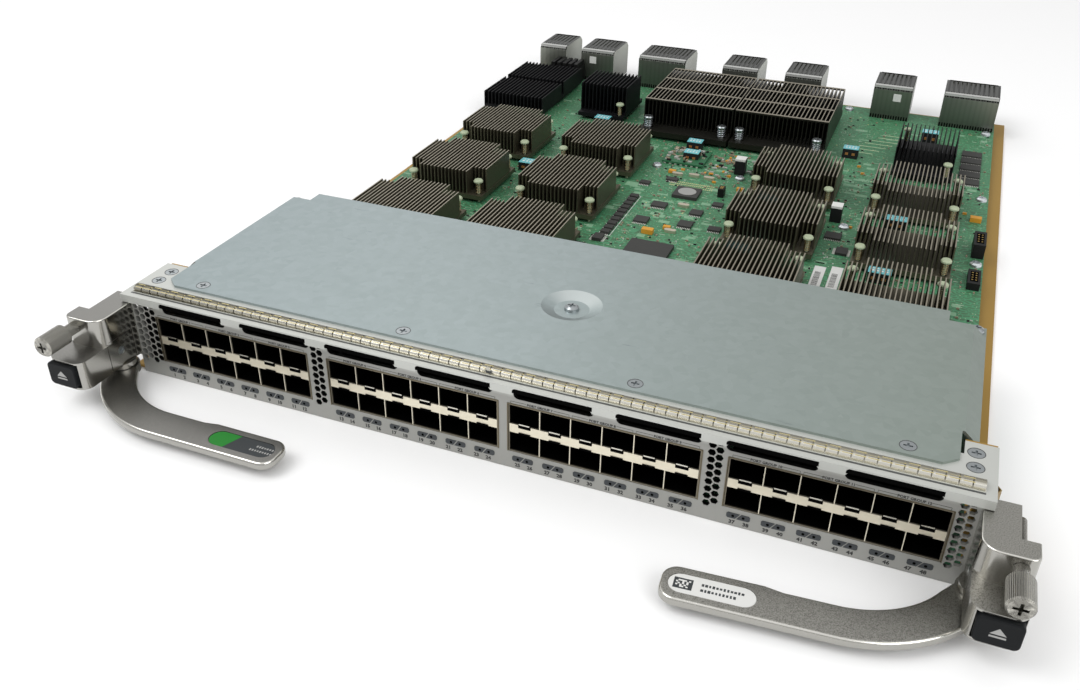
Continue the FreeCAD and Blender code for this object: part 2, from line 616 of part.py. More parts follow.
def front_cover():
    """Folded cover over the port cages: flat top, sloped shoulders, upright skirts and a pressed dish."""
    cover = Body("front_cover")
    top, under = "(face_height + cover_thick)", "face_height"
    half, thick = "(cover_width / 2)", "cover_thick"
    outer = f"({half} + skirt_reach)"
    shoulder = f"({top} - skirt_slope)"
    foot = f"({BOARD_TOP} + 0.2)"
    skirt_start = "(cover_front + skirt_front)"
    end = "(cover_front + cover_depth)"
    skirt_end = f"({end} - cover_rear_tongue)"
    fold = cover.sketch("XZ_Plane", f"-{skirt_start}")
    right = [(half, top), (outer, shoulder), (outer, foot), (f"{outer} - {thick}", foot),
             (f"{outer} - {thick}", f"{shoulder} - {thick} / 2"), (f"{half} - {thick} / 2", under)]
    left = [(f"-({x})", z) for x, z in reversed(right)]
    fold.polygon(right + left)
    cover.pad(fold, f"{skirt_end} - {skirt_start}", reverse=True)
    front = cover.sketch("XY_Plane", under)
    front.polygon([("-" + half + " + 7", "cover_front"), (half + " - 7", "cover_front"),
                   (half + " - 1", "cover_front + 5"), (half + " - 1", f"{skirt_start} + 1"),
                   (f"-{half} + 1", f"{skirt_start} + 1"), (f"-{half} + 1", "cover_front + 5")])
    cover.pad(front, thick)
    tongue = cover.sketch("XY_Plane", under)
    tongue.rectangle(f"-{half} + tongue_inset", f"{skirt_end} - 1", f"{half} - tongue_inset", end)
    cover.pad(tongue, thick)
    for side in (-1, 1):
        ends = sorted((f"{side} * ({outer} - 9)", f"{side} * {outer}"), key=number)
        ear = cover.sketch("XY_Plane", f"{shoulder} - {thick}")
        ear.rectangle(ends[0], f"{skirt_end} - 2", ends[1], f"{end} + 0.5")
        cover.pad(ear, thick)
    dish = cover.sketch("XZ_Plane", "-dish_y", ("dish_x", "0"))
    dish.polygon([("0", f"{under} + {thick} / 2"), (f"dish_radius + {thick}", f"{under} + {thick} / 2"),
                  (f"dish_radius + {thick} / 2", under), ("dish_flat", f"{under} - dish_depth"),
                  ("0", f"{under} - dish_depth")])
    cover.turned("Revolution", dish)
    hollow = cover.sketch("XZ_Plane", "-dish_y", ("dish_x", "0"))
    hollow.polygon([("0", f"{top} + 1"), (f"dish_radius + 0.6", f"{top} + 1"), ("dish_radius", top),
                    ("dish_flat", f"{top} - dish_depth"), ("0", f"{top} - dish_depth")])
    cover.turned("Groove", hollow)
    bores = cover.sketch("XY_Plane", top)
    bores.circle("dish_x", "dish_y", "pan_shank + screw_gap")
    for side in (-1, 1):
        bores.circle(f"{side} * ({outer} - 4.6)", f"{end} - 4", "pan_shank + screw_gap")
    cover.pocket(bores, "skirt_slope + cover_thick * 2")
    for step in SCREW_XS:
        sink = cover.sketch("XZ_Plane", "-cover_screw_y", (f"{step} * cover_screw_pitch", "0"))
        sink.polygon([("0", f"{top} + 0.5"), ("flush_radius + screw_gap", f"{top} + 0.5"),
                      ("flush_radius + screw_gap", top), ("flush_shank + screw_gap", f"{top} - flush_depth"),
                      ("flush_shank + screw_gap", f"{top} - cover_thick - 0.5"),
                      ("0", f"{top} - cover_thick - 0.5")])
        cover.turned("Groove", sink)


# ---------------------------------------------------------------- screws

def cross_recess(spot, direction, reach):
    """Return the cutter of a cross-shaped drive recess."""
    wide, deep = size("drive_width"), size("drive_depth")
    arms = []
    for length, width in ((reach * 2, wide), (wide, reach * 2)):
        arm = Part.makeBox(length, width, deep * 2, Vector(-length / 2, -width / 2, -deep))
        arm.Placement = Placement(spot, Rotation(AXIS["Z"], direction)).multiply(arm.Placement)
        arms.append(arm)
    return arms[0].fuse(arms[1])


def flush_screw(spot, direction, shank=None):
    """Return a countersunk screw whose head's face is at a spot, facing a direction."""
    head, narrow, deep = size("flush_radius"), size("flush_shank"), size("flush_depth")
    length = shank or size("flush_length")
    outline = [Vector(0, 0, 0), Vector(head, 0, 0), Vector(narrow, 0, -deep), Vector(narrow, 0, -length),
               Vector(0, 0, -length)]
    made = Part.Face(Part.makePolygon(outline + outline[:1])).revolve(Vector(), AXIS["Z"], 360)
    made.Placement = Placement(spot, Rotation(AXIS["Z"], direction))
    return made.cut(cross_recess(spot, direction, head * 0.55))


def pan_screw(spot, shank=None):
    """Return an upright pan-head screw whose head sits on a spot."""
    head, tall, narrow = size("pan_radius"), size("pan_height"), size("pan_shank")
    length = shank or size("pan_length")
    outline = [Vector(0, 0, tall), Vector(head * 0.62, 0, tall), Vector(head * 0.92, 0, tall * 0.62),
               Vector(head, 0, 0), Vector(narrow, 0, 0), Vector(narrow, 0, -length), Vector(0, 0, -length)]
    made = Part.Face(Part.makePolygon(outline + outline[:1])).revolve(Vector(), AXIS["Z"], 360)
    made.Placement = Placement(spot, Rotation())
    return made.cut(cross_recess(spot + Vector(0, 0, tall), AXIS["Z"], head * 0.5))


def screws():
    """Flush screws of cover and tabs, and the cover's and board's pan-head screws."""
    cover_top = number("face_height + cover_thick")
    cover_screws = [flush_screw(Vector(step * size("cover_screw_pitch"), size("cover_screw_y"), cover_top),
                                AXIS["Z"])
                    for step in SCREW_XS]
    group("cover_flush_screws", cover_screws)
    tabs = [flush_screw(Vector(number(x), number(y), size("face_height")), AXIS["Z"]) for x,
            y in tab_screw_places()]
    group("tab_flush_screws", tabs)
    dish_floor = cover_top - size("dish_depth")
    outer = number("cover_width / 2 + skirt_reach - 4.6")
    side_y = number("cover_front + cover_depth - 4")
    side_z = number("face_height + cover_thick - skirt_slope")
    pans = [pan_screw(Vector(size("dish_x"), size("dish_y"), dish_floor), shank=3.2)]
    pans += [pan_screw(Vector(side * outer, side_y, side_z), shank=2.4) for side in (-1, 1)]
    group("cover_pan_screws", pans)
    board_top = number(BOARD_TOP)
    thick = size("board_thick")
    group("board_screws", [pan_screw(Vector(x, y, board_top), shank=thick) for x, y in BOARD_SCREW_SPOTS])


# ---------------------------------------------------------------- ejectors

def ear(side, name):
    """Die-cast ejector ear: brow over the thumbscrew, shelf with the button, boss for the lever's pivot."""
    casting = Body(f"{name}_ear")
    inner, outer, waist = (f"{side} * {edge}" for edge in ("ear_inner", "ear_outer", "ear_waist"))
    beside = f"{side} * (face_width / 2 + ear_gap)"
    shelf = casting.sketch("XY_Plane", "ear_base")
    shelf.polygon([(inner, "-ear_nose"), (outer, "-ear_nose"), (outer, "-ear_step"), (waist, "-ear_step"),
                   (waist, "ear_tail"), (beside, "ear_tail"), (beside, "0"), (inner, "0")])
    casting.pad(shelf, "ear_shelf - ear_base")
    casting.dress("Fillet", lambda edge: is_upright(edge) and near(edge, y=-size("ear_nose")),
                  "ear_round - 1.5")
    brow = casting.sketch("XY_Plane", "ear_shelf")
    brow.polygon([(inner, "-ear_brow"), (outer, "-ear_brow"), (outer, "-ear_step"), (waist, "-ear_step"),
                  (waist, "ear_tail"), (beside, "ear_tail"), (beside, "0"), (inner, "0")])
    casting.pad(brow, "ear_top - ear_shelf")

    def brow_corner(edge):
        return (is_upright(edge) and near(edge, y=-size("ear_brow"))
                and edge.CenterOfMass.z > size("ear_shelf"))

    casting.dress("Fillet", lambda edge: brow_corner(edge) and near(edge, x=side * size("ear_inner")),
                  "ear_round")
    casting.dress("Fillet", lambda edge: brow_corner(edge) and near(edge, x=side * size("ear_outer")),
                  "ear_round / 2")
    top, inner_edge, step = size("ear_top"), size("ear_inner"), size("ear_step")
    casting.dress("Fillet", lambda edge: near(edge, z=top) and edge.CenterOfMass.y < -step
                  and abs(edge.CenterOfMass.x) > inner_edge + 0.5, "ear_edge")
    boss = casting.sketch("XY_Plane", "lever_base + lever_thick + lever_gap")
    boss.circle(f"{side} * pivot_x", "pivot_y", "boss_radius")
    casting.pad(boss, "ear_base - lever_base - lever_thick - lever_gap + 0.5")
    bore = casting.sketch("XY_Plane", "lever_base + lever_thick")
    bore.circle(f"{side} * pivot_x", "pivot_y", "pin_radius")
    casting.pocket(bore, "pin_depth + 0.1 + ear_base - lever_base - lever_thick", reverse=True)
    centre = f"{side} * (ear_outer - 1 - button_width / 2)"
    cavity = casting.sketch("XZ_Plane", "ear_nose + 1")
    gap = "button_gap"
    ends = sorted((f"{centre} - button_width / 2 - {gap}", f"{centre} + button_width / 2 + {gap}"),
                  key=number)
    cavity.rectangle(ends[0], f"ear_base + button_rise - {gap}", ends[1],
                     f"ear_base + button_rise + button_height + {gap}")
    casting.pocket(cavity, "button_depth - button_proud + button_spring_length + 1")
    hole = casting.sketch("XZ_Plane", "ear_brow + 1")
    hole.circle(f"{side} * thumb_x", "thumb_z", "thumb_neck + thumb_fit")
    casting.pocket(hole, "ear_brow + ear_tail + 2", reverse=False)
    groove = casting.sketch("XZ_Plane", "ear_step")
    groove.circle(f"{side} * thumb_x", "thumb_z", "groove_radius")
    casting.pocket(groove, "ear_step + ear_tail + 1", reverse=False)
    seams = casting.sketch("YZ_Plane", f"{side} * ear_inner")
    seam = "ear_seam"
    for start, end, low, high in (("-20.6", f"-20.6 + {seam}", "ear_base - 1", "ear_shelf + 1"),
                                  (f"-20.6 + {seam}", "-4", "26.6", f"26.6 + {seam}"),
                                  ("-4", f"-4 + {seam}", "ear_base - 1", f"26.6 + {seam}")):
        seams.rectangle(start, low, end, high)
    casting.pocket(seams, f"{seam} * 2", middle=True)
    cheek = casting.sketch("YZ_Plane", f"{side} * (ear_inner - 1)")
    cheek.circle("-cheek_y", "cheek_z", "cheek_shank + screw_gap")
    casting.pocket(cheek, "4.4", reverse=side > 0)
    recess = casting.sketch("YZ_Plane", f"{side} * (ear_inner - 1)")
    recess.circle("-cheek_y", "cheek_z", "cheek_head + screw_gap")
    casting.pocket(recess, "2", reverse=side > 0)


def pivot_pin(side, name):
    """Headed pin that carries a lever under its ear."""
    low = "(lever_base - pin_head_thick - lever_gap)"
    pin = Body(f"{name}_pivot_pin", (f"{side} * pivot_x", "pivot_y", "0"))
    outline = pin.sketch("XZ_Plane")
    outline.polygon([("0", low), ("pin_head", low), ("pin_head", f"{low} + pin_head_thick"),
                     ("pin_radius", f"{low} + pin_head_thick"), ("pin_radius", "ear_base + pin_depth - 0.3"),
                     ("pin_radius - 0.6", "ear_base + pin_depth + 0.1"), ("0", "ear_base + pin_depth + 0.1")])
    pin.turned("Revolution", outline)


def lever(side, name, opening):
    """Cast ejector lever: hub with its cam, curved arm, straight grip with a recess for its label."""
    arm = Body(f"{name}_lever", (f"{side} * pivot_x", "pivot_y", "lever_base"), turn=f"{side} * {opening}")
    thick = "lever_thick"
    hub = arm.sketch("XY_Plane")
    hub.circle("0", "0", "hub_radius")
    arm.pad(hub, thick)
    bend = arm.sketch("YZ_Plane", f"{side} * (bend_x - pivot_x)", ("bend_y - pivot_y", "0"))
    bend.rectangle("-bend_outer", "0", "-bend_inner", thick)
    arm.turned("Revolution", bend, "bend_angle", reverse=side < 0)
    outer, inner = "(bend_y - bend_outer - pivot_y)", "(bend_y - bend_inner - pivot_y)"
    start, tip = f"{side} * (bend_x - pivot_x)", f"{side} * (lever_tip - pivot_x)"
    grip = f"{side} * (lever_tip + grip_length - pivot_x)"
    neck = f"{side} * (lever_tip + grip_length + 7 - pivot_x)"
    bar = arm.sketch("XY_Plane")
    bar.polygon([(start, outer), (tip, outer), (tip, f"{inner} + grip_extra"),
                 (grip, f"{inner} + grip_extra"),
                 (neck, inner), (start, inner)])
    arm.pad(bar, thick)
    neck_fill = arm.sketch("XY_Plane")
    corner_x = f"{side} * (bend_x - pivot_x + bend_outer * sin(bend_angle * 1 deg))"
    corner_y = "(bend_y - pivot_y - bend_outer * cos(bend_angle * 1 deg))"
    inner_x = f"{side} * (bend_x - pivot_x + bend_inner * sin(bend_angle * 1 deg))"
    inner_y = "(bend_y - pivot_y - bend_inner * cos(bend_angle * 1 deg))"
    neck_fill.polygon([(corner_x, corner_y), (f"{side} * hub_radius * 0.98", "0"),
                       (f"-{side} * hub_radius * 0.6", "hub_radius * 0.7"), (inner_x, inner_y),
                       (f"{side} * (bend_x - pivot_x + (bend_outer + bend_inner) / 2 * sin(bend_angle * 0.9 deg))",
                        "(bend_y - pivot_y - (bend_outer + bend_inner) / 2 * cos(bend_angle * 0.9 deg))")])
    arm.pad(neck_fill, thick)
    cam = arm.sketch("XY_Plane")
    out, wide = "(cam_reach / sqrt(2))", "(cam_width / sqrt(8))"
    cam.polygon([(f"-{side} * {wide}", wide), (f"{side} * {wide}", f"-{wide}"),
                 (f"{side} * ({out} + {wide} / 2)", f"{out} - {wide} / 2"),
                 (f"{side} * ({out} - {wide} / 2)", f"{out} + {wide} / 2")])
    arm.pad(cam, thick)
    tip_x, inner_edge = side * number("lever_tip - pivot_x"), number(f"{inner} + grip_extra")
    outer_edge = number(outer)
    arm.dress("Fillet", lambda edge: is_upright(edge) and near(edge, x=tip_x)
              and (near(edge, y=outer_edge) or near(edge, y=inner_edge)), "label_width * 0.65")

    top, clear = size("lever_thick"), -size("hub_radius") - 6

    def rim(edge):
        spot = edge.CenterOfMass
        level = abs(spot.z - top) < 0.01 or abs(spot.z) < 0.01
        return level and side * spot.x < clear

    arm.dress("Fillet", rim, "lever_edge")
    bore = arm.sketch("XY_Plane")
    bore.circle("0", "0", "pin_radius + pin_fit")
    arm.pocket(bore, thick, reverse=True)
    field = arm.sketch("XY_Plane", thick)
    radius = "label_width / 2 + label_gap"
    ends = sorted((f"{side} * (lever_tip + 3 + label_width / 2 - pivot_x)",
                   f"{side} * (lever_tip + 3 + label_length - label_width / 2 - pivot_x)"), key=number)
    field.slot(ends[0], ends[1], LABEL_Y, radius)
    arm.pocket(field, "label_depth")


LABEL_Y = "(bend_y - pivot_y - (bend_outer + bend_inner) / 2 + grip_extra / 2)"


def eject_button(side, name):
    """Crowned push button in the ear's nose, with its return spring."""
    centre = f"{side} * (ear_outer - 1 - button_width / 2)"
    button = Body(f"{name}_eject_button", (centre, "-ear_nose", "ear_base + button_rise + button_height / 2"))
    face = button.sketch("XZ_Plane", "button_proud")
    face.rectangle("-button_width / 2", "-button_height / 2", "button_width / 2", "button_height / 2")
    button.pad(face, "button_depth", reverse=True)
    corner = number("button_width / 2")
    button.dress("Fillet", lambda edge: abs(abs(edge.CenterOfMass.x) - corner) < 0.01
                 and abs(abs(edge.CenterOfMass.z) - number("button_height / 2")) < 0.01, "button_round")
    button.dress("Fillet", lambda edge: near(edge, y=-size("button_proud")), "0.7")
    spring = Body(f"{name}_button_spring", (centre, "button_depth - button_proud - ear_nose",
                                            "ear_base + button_rise + button_height / 2"))
    coil = spring.sketch("XZ_Plane")
    coil.circle("0", "0", "button_spring_radius")
    coil.circle("0", "0", "button_spring_radius - button_spring_wall")
    spring.pad(coil, "button_spring_length", reverse=True)


def thumbscrew(side, name):
    """Captive thumbscrew with a knurled head, and the clip that holds it in the ear."""
    screw = Body(f"{name}_thumbscrew", (f"{side} * thumb_x", "0", "thumb_z"))
    back = "(ear_brow + thumb_stand)"
    front = f"({back} + thumb_length)"
    neck_end = "(ear_step - clip_gap)"
    outline = screw.sketch("YZ_Plane")
    outline.polygon([(f"-{front}", "0"), (f"-{front}", "thumb_radius - 0.9"),
                     (f"0.9 - {front}", "thumb_radius"),
                     (f"-{back} - 0.6", "thumb_radius"), (f"-{back}", "thumb_radius - 0.6"),
                     (f"-{back}", "thumb_neck"), (f"-{neck_end}", "thumb_neck"),
                     (f"-{neck_end}", "thumb_shaft"),
                     ("thumb_reach - 0.8", "thumb_shaft"), ("thumb_reach", "thumb_shaft - 0.6"),
                     ("thumb_reach", "0")])
    screw.turned("Revolution", outline, axis="H_Axis")
    slots = screw.sketch("XZ_Plane", f"{front} + 1")
    slots.polygon([("-2.6", "-0.55"), ("-0.55", "-0.55"), ("-0.55", "-2.6"), ("0.55", "-2.6"),
                   ("0.55", "-0.55"),
                   ("2.6", "-0.55"), ("2.6", "0.55"), ("0.55", "0.55"), ("0.55", "2.6"), ("-0.55", "2.6"),
                   ("-0.55", "0.55"), ("-2.6", "0.55")])
    screw.pocket(slots, "2.2")
    clip = Body(f"{name}_thumbscrew_clip", (f"{side} * thumb_x", "0", "thumb_z"))
    ring = clip.sketch("XZ_Plane", f"{neck_end} - 0.05")
    ring.circle("0", "0", "clip_radius")
    ring.circle("0", "0", "thumb_shaft + 0.05")
    clip.pad(ring, "clip_thick", reverse=True)


def ejectors():
    """Both ends' ears, levers, pins, buttons and thumbscrews."""
    for side, name, opening in ((-1, "left", "0"), (1, "right", "right_lever_open")):
        ear(side, name)
        pivot_pin(side, name)
        lever(side, name, opening)
        eject_button(side, name)
        thumbscrew(side, name)
    cheek = []
    for side in (-1, 1):
        spot = Vector(side * (size("ear_inner") + 0.15), -size("cheek_y"), size("cheek_z"))
        head = Part.makeCylinder(size("cheek_head"), 0.85, spot, AXIS["X"] * side)
        shank = Part.makeCylinder(size("cheek_shank"), 3.0, spot, AXIS["X"] * side)
        cheek.append(head.fuse(shank).cut(cross_recess(spot, AXIS["X"] * -side, 1.1)))
    group("ear_screws", cheek)


# ---------------------------------------------------------------- heat sinks

def fin_row(sink, left, reach_low, reach_high, foot, tall, step, count):
    """Raise one fin on a sink's base and repeat it along X."""
    fin = sink.sketch("XY_Plane", foot)
    fin.rectangle(left, reach_low, f"{left} + fin_thick", reach_high)
    sink.pattern([sink.pad(fin, tall)], "X_Axis", step, count)


def small_sink():
    """Extruded sink with upright fins along Y, shorter at its corners where the push pins stand."""
    sink = Body("heat_sink_master", master=True)
    half, deep = "sink_width / 2", "sink_depth / 2"
    sink.pad(sink.sketch("XY_Plane").rectangle(f"-{half}", f"-{deep}", half, deep), "sink_base")
    step = "((sink_width - 2 * fin_margin - fin_thick) / (fin_count - 1))"
    short = f"ceil((pin_notch - fin_margin - fin_thick / 2) / {step})"
    first = f"(fin_margin - {half})"
    tall = "sink_height - sink_base"
    reach = f"({deep} - 0.4)"
    fin_row(sink, f"({first} + {short} * {step})", f"-{reach}", reach, "sink_base", tall, step,
            f"fin_count - 2 * {short}")
    reach = f"({deep} - pin_notch)"
    fin_row(sink, first, f"-{reach}", reach, "sink_base", tall, step, short)
    right = f"({half} - fin_margin - fin_thick - ({short} - 1) * {step})"
    fin_row(sink, right, f"-{reach}", reach, "sink_base", tall, step, short)
    corners = sink.sketch("XY_Plane", "0")
    for x in (f"push_pin_inset - {half}", f"{half} - push_pin_inset"):
        for y in (f"push_pin_inset - {deep}", f"{deep} - push_pin_inset"):
            corners.circle(x, y, "push_pin_shank + screw_gap")
    sink.pocket(corners, "sink_base + 1", reverse=True)
    DOC.recompute()
    return sink.body.Shape


def large_sink(label, side):
    """Folded-fin sink whose fins are tied by four cross strips, on a base with aprons for spring screws."""
    x = f"(large_x + {side} * (large_width / 2 + large_gap / 2))"
    sink = Body(label, (x, "large_y", f"{BOARD_TOP} + chip_height"))
    half, deep = "large_width / 2", "large_depth / 2"
    base = sink.sketch("XY_Plane")
    base.rectangle(f"-{half}", f"-{deep} - large_apron", half, f"{deep} + large_back")
    sink.pad(base, "sink_base + 1")
    step = "((large_width - fin_thick) / (large_fins - 1))"
    fin_row(sink, f"(-{half})", f"-{deep}", deep, "sink_base + 1", "large_height - sink_base - 1", step,
            "large_fins")
    tie = sink.sketch("XY_Plane", "large_height - tie_height")
    tie.rectangle(f"-{half}", f"-{deep}", half, f"tie_width - {deep}")
    sink.pattern([sink.pad(tie, "tie_height")], "Y_Axis", "(large_depth - tie_width) / 3", "4")
    bores = sink.sketch("XY_Plane", "0")
    for end in (-1, 1):
        for y in (f"-{deep} - large_apron / 2", f"{deep} + large_back / 2"):
            bores.circle(f"{end} * ({half} - spring_screw_inset)", y, "pan_shank + screw_gap")
    sink.pocket(bores, "sink_base + 2", reverse=True)


def push_pins(spots, top):
    """Return headed plastic pins that go down through a sink's corners to the board."""
    low, radius, shank = number(BOARD_TOP), size("push_pin_radius"), size("push_pin_shank")
    outline = [(0, top), (radius * 0.8, top), (radius, top - 0.7), (radius, top - 1.6), (shank, top - 2.6),
               (shank, low), (0, low)]
    points = [Vector(r, 0, z) for r, z in outline]
    pin = Part.Face(Part.makePolygon(points + points[:1])).revolve(Vector(), AXIS["Z"], 360)
    return [pin.translated(Vector(x, y, 0)) for x, y in spots]


BLACK_SINKS = (("black_sink_left", -171.5, 459.5, 51.0, 91.0, 13.5),
               ("black_sink_middle", -101.0, 452.5, 38.0, 38.0, 24.5),
               ("black_sink_right", 147.0, 431.0, 40.0, 56.0, 18.5))
SPLIT_SINK = "black_sink_left"


def black_sink(label, x, y, wide, deep, tall):
    """Anodised sink of plain upright fins: one block between pinned aprons, or two blocks with a gap."""
    sink = Body(label, (str(x), str(y), f"{BOARD_TOP} + chip_height"))
    split = label == SPLIT_SINK
    apron = "0" if split else "black_apron"
    half, reach = wide / 2, f"({deep / 2} + {apron})"
    sink.pad(sink.sketch("XY_Plane").rectangle(str(-half), f"-{reach}", str(half), reach), "sink_base")
    count = f"(floor(({wide} - fin_thick) / black_fin_pitch) + 1)"
    step = f"(({wide} - fin_thick) / ({count} - 1))"
    blocks = ((-deep / 2, -2.5), (2.5, deep / 2)) if split else ((-deep / 2, deep / 2),)
    for start, end in blocks:
        fin_row(sink, f"({-half})", str(start), str(end), "sink_base", f"{tall} - sink_base", step, count)
    if not split:
        holes = sink.sketch("XY_Plane", "0")
        for end in (-1, 1):
            holes.circle(f"{-end} * ({half} - push_pin_inset)", f"{end} * ({reach} - push_pin_inset + 0.5)",
                         "push_pin_shank + screw_gap")
        sink.pocket(holes, "sink_base + 1", reverse=True)


def cooling():
    """All heat sinks, the packages that they cool and the large sinks' spring screws."""
    under = []
    low, tall = number(BOARD_TOP), size("chip_height")
    columns = (("left_outer", "-sink_x_outer"), ("left_inner", "-sink_x_inner"),
               ("right_inner", "sink_x_inner"), ("right_outer", "sink_x_outer"))
    master = small_sink()
    pin_spots = []
    foot = number(f"{BOARD_TOP} + chip_height")
    for column, x in columns:
        copies = []
        reach_x = number("sink_width / 2 - push_pin_inset")
        reach_y = number("sink_depth / 2 - push_pin_inset")
        for row in range(3):
            spot = Vector(number(x), number(f"sink_y_front + {row} * sink_y_pitch"), foot)
            copies.append(master.translated(spot))
            pin_spots += [(spot.x + a * reach_x, spot.y + b * reach_y) for a in (-1, 1) for b in (-1, 1)]
            under.append(box_at(spot.x, spot.y, low, size("chip_size"), size("chip_size"), tall))
        group(f"heat_sinks_{column}", copies)
    for side, name in ((-1, "left"), (1, "right")):
        large_sink(f"large_heat_sink_{name}", side)
        x = number(f"large_x + {side} * (large_width / 2 + large_gap / 2)")
        under.append(box_at(x, size("large_y"), low, size("chip_size") * 1.4, size("chip_size") * 1.4, tall))
    inset = size("push_pin_inset")
    for label, x, y, wide, deep, high in BLACK_SINKS:
        black_sink(label, x, y, wide, deep, high)
        under.append(box_at(x, y, low, wide * 0.7, deep * 0.7, tall))
        if label != SPLIT_SINK:
            reach = deep / 2 + size("black_apron") - inset + 0.5
            pin_spots += [(x - end * (wide / 2 - inset), y + end * reach) for end in (-1, 1)]
    group("cooled_packages", under)
    group("push_pins", push_pins(pin_spots, number(f"{BOARD_TOP} + chip_height + push_pin_height")))
    springs = []
    radius, height = size("spring_screw_radius"), size("spring_screw_height")
    seat = number(f"{BOARD_TOP} + chip_height + sink_base + 1")
    for side in (-1, 1):
        for end in (-1, 1):
            x = number(f"large_x + {side} * (large_width + large_gap) / 2 + {end} * (large_width / 2"
                       " - spring_screw_inset)")
            depth = number("chip_height + sink_base + 1")
            profile = [(0, height), (radius * 0.85, height), (radius, height - 0.8), (radius, height - 2.2),
                       (radius * 0.75, height - 2.2), (radius * 0.75, 0), (size("pan_shank"), 0),
                       (size("pan_shank"), -depth), (0, -depth)]
            spots = [Vector(r, 0, z) for r, z in profile]
            made = Part.Face(Part.makePolygon(spots + spots[:1])).revolve(Vector(), AXIS["Z"], 360)
            for y in ("large_y - large_depth / 2 - large_apron / 2",
                      "large_y + large_depth / 2 + large_back / 2"):
                springs.append(made.translated(Vector(x, number(y), seat)))
    group("sink_spring_screws", springs)


# ---------------------------------------------------------------- board parts

PLUGS = ((-180.7, 24.5), (-139.0, 30.0), (-80.2, 41.5), (-12.3, 30.0), (40.3, 30.0), (112.2, 30.0),
         (171.2, 41.0))


def backplane_connectors():
    """Shielded backplane plugs: housings with slots along their tops, overhanging the board's rear."""
    low = number(BOARD_TOP)
    front, deep, tall = size("plug_front"), size("plug_depth"), size("plug_height")
    behind = number(BOARD_REAR) + 0.3
    for index, (x, wide) in enumerate(PLUGS, start=1):
        left = x - wide / 2
        outline = [(front, low), (front, low + tall - 3), (front + 3, low + tall),
                   (front + deep - 4, low + tall),
                   (front + deep, low + tall - 4), (front + deep, low - 2), (behind, low - 2), (behind, low)]
        spots = [Vector(left, y, z) for y, z in outline]
        housing = Part.Face(Part.makePolygon(spots + spots[:1])).extrude(Vector(wide, 0, 0))
        pitch = size("plug_slot_pitch")
        count = int((wide - 4) / pitch)
        first = x - (count - 1) * pitch / 2
        slots = [box_at(first + step * pitch, front + deep * 0.62, low + tall - 1.2, size("plug_slot"),
                        deep * 0.5, 3)
                 for step in range(count)]
        solid(f"backplane_connector_{index}", housing.cut(Part.makeCompound(slots)))
    x, y, wide, deep, tall = (size(f"power_{name}") for name in ("x", "y", "width", "depth", "height"))
    ribs = [box_at(x, y, low, wide, deep, tall)]
    ribs += [box_at(x + (step - 2) * wide * 0.2, y, low + tall - 0.01, 3.0, deep, 4.0) for step in range(5)]
    solid("power_connector", ribs[0].multiFuse(ribs[1:]).removeSplitter())


def board_parts():
    """Packages, coils, capacitors, headers and labels that stand on the board."""
    low = number(BOARD_TOP)
    parts = {
        "memory_chips": [(179.0, 409.5 + step * 14.3, 14.0, 10.5, 1.4) for step in range(5)],
        "coil_modules": [(-15.0, 396.5, 11.0, 8.5, 6.5), (-11.5, 374.0, 11.0, 8.5, 6.5),
                         (95.0, 428.0, 11.0, 8.5, 7.0),
                         (-96.0, 419.0, 12.0, 8.5, 6.5), (-73.0, 404.0, 12.0, 8.5, 6.0),
                         (147.0, 483.0, 12.0, 8.5, 8.5), (-114.0, 310.0, 13.0, 9.0, 6.0),
                         (139.0, 312.0, 13.0, 8.0, 6.5), (137.0, 233.0, 13.0, 8.0, 6.5),
                         (63.0, 310.0, 13.0, 8.0, 6.5),
                         (61.0, 231.0, 13.0, 8.0, 6.5)],
        "tall_capacitor_blocks": [(26.9, 362.5, 7.2, 7.2, 11.5), (101.6, 308.2, 7.0, 7.2, 11.0)],
        "flat_packages": [(2.1, 310.5, 17.0, 17.0, 2.2), (3.0, 214.0, 27.0, 26.0, 2.4),
                          (-14.0, 258.0, 9.0, 9.0, 1.6),
                          (14.0, 262.0, 9.0, 9.0, 1.6), (16.0, 282.0, 8.0, 8.0, 1.6),
                          (-10.0, 285.0, 10.0, 8.0, 1.6),
                          (33.0, 262.0, 8.0, 6.0, 1.6), (104.0, 282.0, 10.0, 9.0, 1.6),
                          (112.0, 262.0, 7.0, 9.0, 1.6),
                          (-108.0, 228.0, 12.0, 7.0, 1.6), (-40.0, 207.0, 10.0, 7.0, 1.6),
                          (-31.0, 222.0, 6.0, 8.0, 2.2),
                          (26.0, 300.0, 7.0, 6.0, 1.6), (-30.0, 318.0, 7.0, 5.5, 1.6),
                          (-14.0, 331.0, 8.0, 5.0, 1.6)]
        + [(-29.5, 231.5 + step * 6.7, 5.6, 4.6, 2.0) for step in range(10)],
        "side_headers": [(188.9, 296.5, 7.0, 21.0, 9.0), (188.0, 251.5, 7.0, 19.0, 4.5),
                         (24.0, 318.0, 4.0, 7.0, 6.0)],
        "side_parts": [(186.0, 343.0, 7.0, 4.5, 3.0), (-5.1, 242.0, 7.2, 4.4, 3.0),
                       (4.5, 252.5, 4.6, 3.2, 2.0),
                       (-18.0, 345.0, 5.0, 3.2, 2.0), (34.0, 331.0, 4.6, 3.0, 2.2)],
    }
    for label, rows in parts.items():
        group(label, [box_at(x, y, low, wide, deep, tall) for x, y, wide, deep, tall in rows])


# ---------------------------------------------------------------- build, test and write

